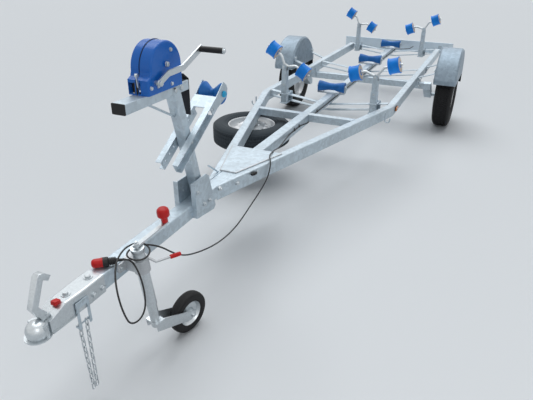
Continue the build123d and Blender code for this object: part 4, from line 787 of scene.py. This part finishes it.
leg_up = (leg_point(0, 0, 1) - leg_point(0, 0, 0)).normalized()
lever_start = leg_point(0.022, 0.020, 0.376)
lever_bend = lever_start + Vector((0.028, 0.012, -0.018))
lever_run = Vector((0.030, 0.050, 0))
knob_profile = ((0, 0), (0, 0.0125), (0.003, 0.0140), (0.020, 0.0138), (0.026, 0.0165), (0.029, 0.0225),
                (0.033, 0.0255), (0.040, 0.0260), (0.052, 0.0258), (0.060, 0.0238), (0.065, 0.0195),
                (0.0673, 0.0120), (0.0680, 0))
sleeve_profile = [(0, 0), (0, 0.0070), (0.002, 0.0085)]
for rib in range(sleeve_ribs):
    start = 0.005 + rib * sleeve_pitch
    sleeve_profile += [(start, 0.0090), (start + 0.0050, 0.0090), (start + 0.0061, 0.0083)]
sleeve_profile += [(0.0440, 0.0086), (0.0462, 0.0066), (0.0466, 0)]
grips = bmesh.new()
lathe(grips, knob_profile, leg_point(0, 0.185, 0.4275), leg_up, 40)
lathe(grips, sleeve_profile, lever_bend + lever_run, lever_run, 28)
grip_piece = finish_piece(grips, "jockey_grip_mouldings", red_plastic, "chassis")
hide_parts("jockey_grips")

# Jockey wheel's top nut: it holds the winding handle on the screw, whose end stands out above it.
# Both are zinc plated.
shape = bmesh.new()
bolt_head(shape, leg_point(0, 0, 0.4478), leg_up, 0.0105)
lathe(shape, ((0, 0), (0, 0.0060), (0.0085, 0.0060), (0.0100, 0.0045), (0.0100, 0)),
      leg_point(0, 0, 0.4540), leg_up, 20)
finish_piece(shape, "jockey_top_nut", bright_zinc, "chassis", 20)

# Clamp's foot: a flange with rounded ends lies against the drawbar's side behind the cast clamp, with a bolt
# through each end.
flange_middle = Vector((0.0385, -2.497, 0.4860))
flange_size = (0.007, 0.138, 0.040)
shape = bmesh.new()
rounded_block(shape, flange_middle, flange_size, 0.016, (1, 0, 0))
finish_piece(shape, "clamp_flange", cast_zinc, "chassis")
shape = bmesh.new()
for end in (-1, 1):
    bolt_head(shape, flange_middle + Vector((0.0035, end * 0.052, 0)), (1, 0, 0), 0.009)
finish_piece(shape, "clamp_bolts", bright_zinc, "chassis", 20)

# Jockey tyre: solid rubber with a rounded tread, shoulder grooves and a thin bead over the pressed rim. Its
# pin is a bolt through the fork's two plates and the hub, with a nut and washer at each end.
jockey_hub = fork_point(0, 0.176, -0.065)
fork_out = (fork_point(1, 0, 0) - fork_point(0, 0, 0)).normalized()
half_tyre = (
    # half width, radius
    (0.0180, 0.0605), (0.0225, 0.0625), (0.0245, 0.0680), (0.0250, 0.0800), (0.0240, 0.0880),
    (0.0222, 0.0885), (0.0215, 0.0905), (0.0218, 0.0925), (0.0190, 0.0962), (0.0130, 0.0988),
    (0.0060, 0.0998),
)


def whole_section(half):
    """Closed section of a tyre from its half section, with the left side first."""
    left = [(-width, radius) for width, radius in half]
    return left + list(reversed(half)) + left[:1]


solid_rubber = moulded("solid_rubber", (0.012, 0.012, 0.013), 0.62, grain_size=500, grain_height=0.25)
shape = bmesh.new()
lathe(shape, whole_section(half_tyre), jockey_hub, fork_out, 72)
tyre = finish_piece(shape, "jockey_solid_tyre", solid_rubber, "jockey_wheel")
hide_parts("jockey_tyre")
shape = bmesh.new()
for side in (-1, 1):
    bolt_head(shape, jockey_hub + fork_out * (side * 0.0345), fork_out * side, 0.0105)
finish_piece(shape, "jockey_pin_nuts", bright_zinc, "jockey_fork", 20)

# Road wheels: radial tyres with five rows of tread blocks on silver-painted steel rims. Each is spun from
# its half section; the blocks are raised from the tread and swept back towards the shoulders.
tyre_rubber = moulded("road_tyre", (0.014, 0.014, 0.015), 0.72, grain_size=400, grain_height=0.3)
spare_rubber = moulded("spare_rubber", (0.036, 0.046, 0.055), 0.75, grain_size=400, grain_height=0.3)
silver = galvanised("wheel_silver", (0.74, 0.75, 0.76), spangle=900, roughness=0.30, contrast=0.02,
                    metallic=0.35)
tyre_section = (
    # half width, radius
    (0.0560, 0.1725), (0.0640, 0.1760), (0.0705, 0.1850), (0.0722, 0.1870), (0.0722, 0.1895),
    (0.0765, 0.1990), (0.0784, 0.2005), (0.0800, 0.2080), (0.0820, 0.2240), (0.0823, 0.2290),
    (0.0814, 0.2310), (0.0806, 0.2410), (0.0786, 0.2490), (0.0792, 0.2505), (0.0780, 0.2530),
    (0.0742, 0.2650), (0.0665, 0.2765), (0.0590, 0.2815), (0.0400, 0.2838), (0.0140, 0.2838),
)
tread_steps = 84
tread_foot = 0.279
tread_half = 0.059
tread_depth = 0.0052
tread_sweep = 0.10
block_gap = 0.0015
tyre_half = 0.0825
rim_steps = 72
rim_wall = 0.004
disc_wall = 0.0035
slot_radii = (0.104, 0.136)
slot_steps = 6
lug_count = 5
lug_circle = 0.056
lug_seat = 0.038
valve_turn = radians(51)
valve_circle = 0.1435
valve_seat = 0.012
valve_lean = 0.35
barrel = ((-0.066, 0.183), (-0.060, 0.1725), (-0.048, 0.166), (-0.030, 0.160), (-0.020, 0.150),
          (0.010, 0.150), (0.022, 0.160), (0.046, 0.166), (0.060, 0.1725), (0.066, 0.183))
barrel_skin = ((0.0625, 0.184), *[(along, radius - rim_wall) for along, radius in reversed(barrel[1:-1])],
               (-0.0625, 0.184))
disc_section = ((0.040, 0.030), (0.036, 0.055), (0.034, 0.078), (0.040, 0.088), (0.046, 0.104),
                (0.044, 0.122), (0.034, 0.136), (0.020, 0.1465), (0.006, 0.1470))
hub_profile = ((-0.068, 0.0155), (-0.068, 0.042), (0.034, 0.042), (0.040, 0.033), (0.060, 0.032),
               (0.068, 0.026), (0.070, 0))
hole_ring = ((0.036, 0.0075), (0.036, 0.0125), (0.0375, 0.0120), (0.0390, 0.0090), (0.0370, 0.0075),
             (0.036, 0.0075))
valve_profile = ((0, 0), (0, 0.0062), (0.006, 0.0056), (0.009, 0.0042), (0.022, 0.0040), (0.023, 0.0046),
                 (0.034, 0.0046), (0.0355, 0.0036), (0.0360, 0))


def road_tyre(name, centre, axis, body, node, rubber):
    """Tyre with raised tread blocks in swept rows."""
    axis = Vector(axis)
    centre = Vector(centre)
    shape = bmesh.new()
    lathe(shape, whole_section(tyre_section), centre, axis, tread_steps)
    blocks = []
    for face in shape.faces:
        out = face.calc_center_median() - centre
        along = out.dot(axis)
        radius = (out - axis * along).length
        if radius > tread_foot and abs(along) < tread_half and face.normal.dot(out) > 0:
            blocks.append(face)
    bmesh.ops.inset_individual(shape, faces=blocks, thickness=block_gap, depth=tread_depth,
                               use_even_offset=True)
    for vert in shape.verts:
        out = vert.co - centre
        lag = tread_sweep * abs(out.dot(axis)) / tyre_half
        vert.co = centre + Matrix.Rotation(lag, 3, axis) @ out
    tyre = finish_piece(shape, name, rubber, body, 28)
    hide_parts(node)


def pressed_disc(centre, axis, across):
    """Disc of a rim: sheet with slots cut out in pairs of steps and given its thickness."""
    disc = bmesh.new()
    lathe(disc, disc_section, centre, axis, rim_steps)
    slots = []
    for face in disc.faces:
        out = face.calc_center_median() - centre
        flat = out - axis * out.dot(axis)
        half_steps = int(round(across.angle(flat) / pi * rim_steps))
        if slot_radii[0] < flat.length < slot_radii[1] and half_steps // 2 % slot_steps in (0, 1):
            slots.append(face)
    bmesh.ops.delete(disc, geom=slots, context="FACES")
    bmesh.ops.solidify(disc, geom=disc.faces, thickness=disc_wall)
    return disc


def rim_with_slots(name, centre, axis, body, node, hub):
    """Rolled rim, slotted disc and valve; a mounted wheel has its hub and bolts, a spare bare bolt holes."""
    axis = Vector(axis)
    centre = Vector(centre)
    across = axis.orthogonal().normalized()
    shape = bmesh.new()
    lathe(shape, barrel + barrel_skin + barrel[:1], centre, axis, rim_steps)
    add_part(shape, pressed_disc(centre, axis, across))
    if hub:
        lathe(shape, hub_profile, centre, axis, 40)
    for index in range(lug_count):
        spot = centre + Matrix.Rotation(2 * pi * index / lug_count, 3, axis) @ (across * lug_circle)
        if hub:
            bolt_head(shape, spot + axis * lug_seat, axis, 0.012)
        else:
            lathe(shape, hole_ring, spot, axis, 20)
    rim = finish_piece(shape, name, silver, body, 30)
    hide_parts(node)
    valve = bmesh.new()
    foot = centre + Matrix.Rotation(valve_turn, 3, axis) @ (across * valve_circle) + axis * valve_seat
    stem = (axis - (foot - centre).normalized() * valve_lean).normalized()
    lathe(valve, valve_profile, foot, stem, 16)
    finish_piece(valve, f"{name}_valve", black_plastic, body)


for name, side in (("left", 1), ("right", -1)):
    wheel_centre = (side * 0.8, 1.4, 0.289)
    road_tyre(f"road_tyre_{name}", wheel_centre, (side, 0, 0), f"wheel_{name}", f"tyre_{name}", tyre_rubber)
    rim_with_slots(f"road_rim_{name}", wheel_centre, (side, 0, 0), f"wheel_{name}", f"rim_{name}", hub=True)
spare_low, spare_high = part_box("spare_tyre")
spare_centre = (spare_low + spare_high) / 2
road_tyre("spare_road_tyre", spare_centre, (0, 0, 1), "chassis", "spare_tyre", spare_rubber)
rim_with_slots("spare_road_rim", spare_centre, (0, 0, 1), "chassis", "spare_rim", hub=False)

# Mudguards: pressed galvanised sheet on flat stays. Two bolts hold each stay to the guard's inner side and
# two to the rail, and one more goes through each end of that side.
# The guards are the frame's galvanised sheet. Their darker, bluer colour is painted shade and a painted
# reflection of the sky, not a colour of the zinc itself.
guard_painted_shade_zinc = galvanised("mudguard_painted_shade_zinc", (0.275, 0.345, 0.41), spangle=40, roughness=0.50, contrast=0.12,
                        metallic=0.5)
dress(guard_painted_shade_zinc, "mudguards")
guard_middle = 1.4
shape = bmesh.new()
for side in (-1, 1):
    for end in (-1, 1):
        for across in (-0.014, 0.014):
            stay_y = guard_middle + end * 0.250 + across
            bolt_head(shape, (side * 0.694, stay_y, 0.570), (-side, 0, 0), 0.009)
            bolt_head(shape, (side * 0.5575, stay_y, 0.466), (side, 0, 0), 0.011)
        bolt_head(shape, (side * 0.700, guard_middle + end * 0.290, 0.500), (-side, 0, 0), 0.008)
finish_piece(shape, "mudguard_bolts", bright_zinc, "chassis", 20)

# Mudguards' hems: the sheet's lower edge is rolled into a bead along both sides and both ends.
# The bead's ends meet at the inner front corner.
hem_height = 0.4645
hem_round = (
    # distance out, place along the trailer
    (0.7030, 1.0780), (0.7030, 1.7220), (0.7080, 1.7270), (0.8920, 1.7270), (0.8970, 1.7220),
    (0.8970, 1.0780), (0.8920, 1.0730), (0.7080, 1.0730), (0.7035, 1.0775),
)
shape = bmesh.new()
for side in (-1, 1):
    bent_rod(shape, [(side * out, along, hem_height) for out, along in hem_round], 0.0028)
finish_piece(shape, "mudguard_hems", zinc_skin, "chassis")

# Mudflaps: black rubber sheet riveted over each mudguard's rear slope, hanging a little below its lip.
# The sheet follows the guard's round and then hangs nearly straight.
flap_radius = 0.3455
flap_inner = 0.712
flap_width = 0.186
flap_wall = 0.004
flap_line = [(guard_middle + flap_radius * cos(turn), 0.400 + flap_radius * sin(turn)) for turn in
             (radians(angle) for angle in (43, 38, 33, 28, 23, 18.5))]
flap_line += [(1.7308, 0.480), (1.7325, 0.440), (1.7360, 0.400), (1.7410, 0.365)]
shape = bmesh.new()
for side in (-1, 1):
    inner = [shape.verts.new((side * flap_inner, along, height)) for along, height in flap_line]
    edges = [shape.edges.new(pair) for pair in zip(inner, inner[1:])]
    sheet = bmesh.ops.extrude_edge_only(shape, edges=edges)["geom"]
    bmesh.ops.translate(shape, verts=verts_of(sheet), vec=(side * flap_width, 0, 0))
bmesh.ops.recalc_face_normals(shape, faces=shape.faces)
for face in shape.faces:
    if face.normal.y < 0:
        face.normal_flip()
bmesh.ops.solidify(shape, geom=shape.faces, thickness=-flap_wall)
bmesh.ops.recalc_face_normals(shape, faces=shape.faces)
finish_piece(shape, "mudflaps", solid_rubber, "chassis")
shape = bmesh.new()
for side in (-1, 1):
    for out in (0.730, 0.800, 0.870):
        lathe(shape, ((0, 0.0075), (0.0012, 0.0072), (0.0028, 0.004), (0.0032, 0)),
              (side * out, 1.7345, 0.482), (0, 1, 0), 16)
finish_piece(shape, "mudflap_rivets", bright_zinc, "chassis")

# Axle: bolted under the rails through its two plates, four bolts to each side.
# Their heads are on the plates' outer faces.
shape = bmesh.new()
for side in (-1, 1):
    for bolt_y in (1.215, 1.305):
        for bolt_z in (0.398, 0.462):
            bolt_head(shape, (side * 0.5575, bolt_y, bolt_z), (side, 0, 0), 0.012)
finish_piece(shape, "axle_bolts", bright_zinc, "chassis", 20)

# Light board: plain folded aluminium sheet across the tail, with a lamp near each end. Its skin is more even
# than the galvanised frame's.
# The board's colour is partly its own pale aluminium and partly painted light: it is made paler and bluer to
# stand for the sky's light on its face.
board_metal_painted_light = galvanised("board_aluminium_painted_light", (0.74, 0.84, 0.91), spangle=8, roughness=0.38, contrast=0.03,
                         metallic=0.5)
dress(board_metal_painted_light, "light_board")

# Tail lamps: a black base with rounded corners, and on it amber, red and clear lenses side by side with a
# round reflector in the red one. The side markers are amber lenses on small black bases.
lamp_x = 0.540
lamp_height = 0.485
lens_y = 2.9575
marker_y = 0.112
marker_height = 0.472


def lens_plastic(name, colour):
    """Clear coloured lens over fine slanting prisms."""
    material = new_surface(name, colour, 0.12)
    shader = material.node_tree.nodes["Principled BSDF"]
    shader.inputs["Coat Weight"].default_value = 0.5
    prisms = pattern(material, "Wave", 55)
    prisms.bands_direction = "DIAGONAL"
    shade_between(material, prisms.outputs["Fac"], [part * 0.65 for part in colour], colour)
    emboss(material, prisms.outputs["Fac"], strength=0.25, depth=0.001)
    return material


lens_colours = {
    "red": lens_plastic("red_lens", (0.62, 0.015, 0.012)),
    "amber": lens_plastic("amber_lens", (0.85, 0.24, 0.02)),
    "clear": lens_plastic("clear_lens", (0.80, 0.80, 0.78)),
}
lens_row = (
    # colour, distance out, width, corner
    ("amber", 0.6185, 0.061, 0.010),
    ("red", 0.5360, 0.100, 0.006),
    ("clear", 0.4580, 0.052, 0.010),
)
base = bmesh.new()
lenses = {colour: bmesh.new() for colour in lens_colours}
for side in (-1, 1):
    rounded_block(base, (side * lamp_x, 2.9370, lamp_height), (0.230, 0.024, 0.090), 0.014, (0, 1, 0))
    rounded_block(base, (side * 0.5545, marker_y, marker_height), (0.006, 0.070, 0.034), 0.008, (1, 0, 0))
    for colour, out, width, corner in lens_row:
        rounded_block(lenses[colour], (side * out, lens_y, lamp_height), (width, 0.021, 0.078), corner,
                      (0, 1, 0))
    rounded_block(lenses["amber"], (side * 0.5620, marker_y, marker_height), (0.010, 0.062, 0.027), 0.006,
                  (1, 0, 0))
    lathe(lenses["red"], ((0, 0), (0, 0.022), (0.0012, 0.022), (0.0018, 0.019), (0.0018, 0)),
          (side * 0.536, 2.9678, lamp_height), (0, 1, 0), 32)
lamp_pieces = [finish_piece(base, "lamp_bases", black_plastic, "chassis")]
for colour, plastic in lens_colours.items():
    lamp_pieces.append(finish_piece(lenses[colour], f"{colour}_lenses", plastic, "chassis"))
for piece in lamp_pieces:
    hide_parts("lamps")

# Board's feet: each arm ends in an upright plate with a bolt above and below the arm. The lamps' screws show
# as round heads beside them.
foot_x = 0.524
shape = bmesh.new()
for side in (-1, 1):
    rounded_block(shape, (side * foot_x, 2.9190, 0.470), (0.040, 0.006, 0.084), 0.006, (0, 1, 0))
finish_piece(shape, "board_feet", zinc_skin, "chassis")
shape = bmesh.new()
for side in (-1, 1):
    for across in (-0.060, 0.060):
        lathe(shape, ((0, 0.0055), (0.002, 0.0045), (0.003, 0.002), (0.003, 0)),
              (side * lamp_x + across, 2.9220, lamp_height), (0, -1, 0), 16)
    for bolt_z in (0.442, 0.498):
        bolt_head(shape, (side * foot_x, 2.9160, bolt_z), (0, -1, 0), 0.0085)
finish_piece(shape, "board_bolts", bright_zinc, "chassis", 20)

# Spare wheel's clamp: the wheel's disc faces up and rests on a round plate on the carrier's post, with a nut
# through two of its holes. Four bolts and a capped end hold the carrier's lower plate.
plate_height = 0.3715
nut_height = 0.3855
plate_profile = ((0, 0.0120), (0, 0.0860), (0.0020, 0.0880), (0.0050, 0.0880), (0.0060, 0.0860),
                 (0.0060, 0.0120), (0, 0.0120))
end_profile = ((0, 0), (0, 0.0200), (0.003, 0.0200), (0.0045, 0.0150), (0.012, 0.0135), (0.015, 0.0090),
               (0.0155, 0))
spare_plate = Vector((spare_centre.x, spare_centre.y, plate_height))
spare_nuts = Vector((spare_centre.x, spare_centre.y, nut_height))
spare_under = Vector((spare_centre.x, spare_centre.y, 0.301))
spare_across = Vector((0, 0, 1)).orthogonal().normalized()
shape = bmesh.new()
lathe(shape, plate_profile, spare_plate, (0, 0, 1), 56)
for index in (0, 2):
    hole = Matrix.Rotation(2 * pi * index / lug_count, 3, (0, 0, 1)) @ (spare_across * lug_circle)
    nut_with_end(shape, spare_nuts + hole, (0, 0, 1), 0.0125)
    bolt_head(shape, spare_plate + hole, (0, 0, -1), 0.010)
lathe(shape, end_profile, spare_under, (0, 0, -1), 32)
for bolt_x in (-0.045, 0.045):
    for bolt_y in (-0.045, 0.045):
        bolt_head(shape, spare_under + Vector((bolt_x, bolt_y, 0)), (0, 0, -1), 0.010)
finish_piece(shape, "spare_clamp", bright_zinc, "chassis", 20)

# Rope hooks: round bar bent into a J and welded to the outside of the front rails.
# The J opens outwards, with its bend below.
hook_x = 0.5285
hook_y = -0.150
hook_bend = 0.018
shape = bmesh.new()
for side in (-1, 1):
    bend = [(side * (hook_x + hook_bend * (1 - cos(turn))), hook_y, 0.452 - hook_bend * sin(turn))
            for turn in (radians(15 * step) for step in range(0, 13))]
    hook = [(side * hook_x, hook_y, 0.505)] + bend + [(side * (hook_x + 2 * hook_bend), hook_y, 0.466)]
    bent_rod(shape, hook, 0.005, sides=10)
finish_piece(shape, "rope_hooks", zinc_skin, "chassis")

# Fittings by the gusset: a round bar hook welded to the drawbar's far side, and on the near rail a small
# black connector with its screw.
shape = bmesh.new()
bent_rod(shape, ((-0.0385, -1.590, 0.474), (-0.0420, -1.604, 0.485), (-0.0530, -1.655, 0.531),
                 (-0.0600, -1.701, 0.569), (-0.0610, -1.708, 0.573)), 0.005, sides=10)
finish_piece(shape, "drawbar_hook", zinc_skin, "chassis")
connector_foot = Vector((0.1109, -1.5300, 0.4915))
connector_profile = ((-0.0200, 0), (-0.0200, 0.0062), (-0.0180, 0.0072), (-0.0080, 0.0072),
                     (-0.0070, 0.0095), (0.0120, 0.0095), (0.0135, 0.0080), (0.0200, 0.0060),
                     (0.0220, 0.0035), (0.0220, 0))
shape = bmesh.new()
lathe(shape, connector_profile, connector_foot + rail_out * 0.0090, rail_run, 28)
finish_piece(shape, "rail_connector", black_plastic, "chassis")
shape = bmesh.new()
bolt_head(shape, connector_foot - rail_out * 0.0002 + rail_run * 0.036, rail_out, 0.0075)
finish_piece(shape, "connector_screw", bright_zinc, "chassis", 20)

# Cable clips: black moulded clips hold the lamp cable against the chassis along its run. Each is a loop
# round the cable with a tab above it.
cable_height = 0.477
clip_places = ((0.0388, -0.730), (0.0388, -0.640), (0.0338, -0.250), (0.0338, 0.380), (0.0338, 0.900),
               (0.0338, 1.250), (0.0338, 1.800), (0.0338, 2.150), (0.0338, 2.600))
shape = bmesh.new()
for clip_x, clip_y in clip_places:
    lathe(shape, ((-0.006, 0.0036), (-0.006, 0.0056), (0.006, 0.0056), (0.006, 0.0036), (-0.006, 0.0036)),
          (clip_x, clip_y, cable_height), (0, 1, 0), 20)
    tab = Matrix.Translation((clip_x - 0.0030, clip_y, cable_height + 0.011))
    bmesh.ops.create_cube(shape, size=1, matrix=tab @ Matrix.Diagonal((0.0022, 0.012, 0.014, 1)))
finish_piece(shape, "cable_clips", black_plastic, "chassis")
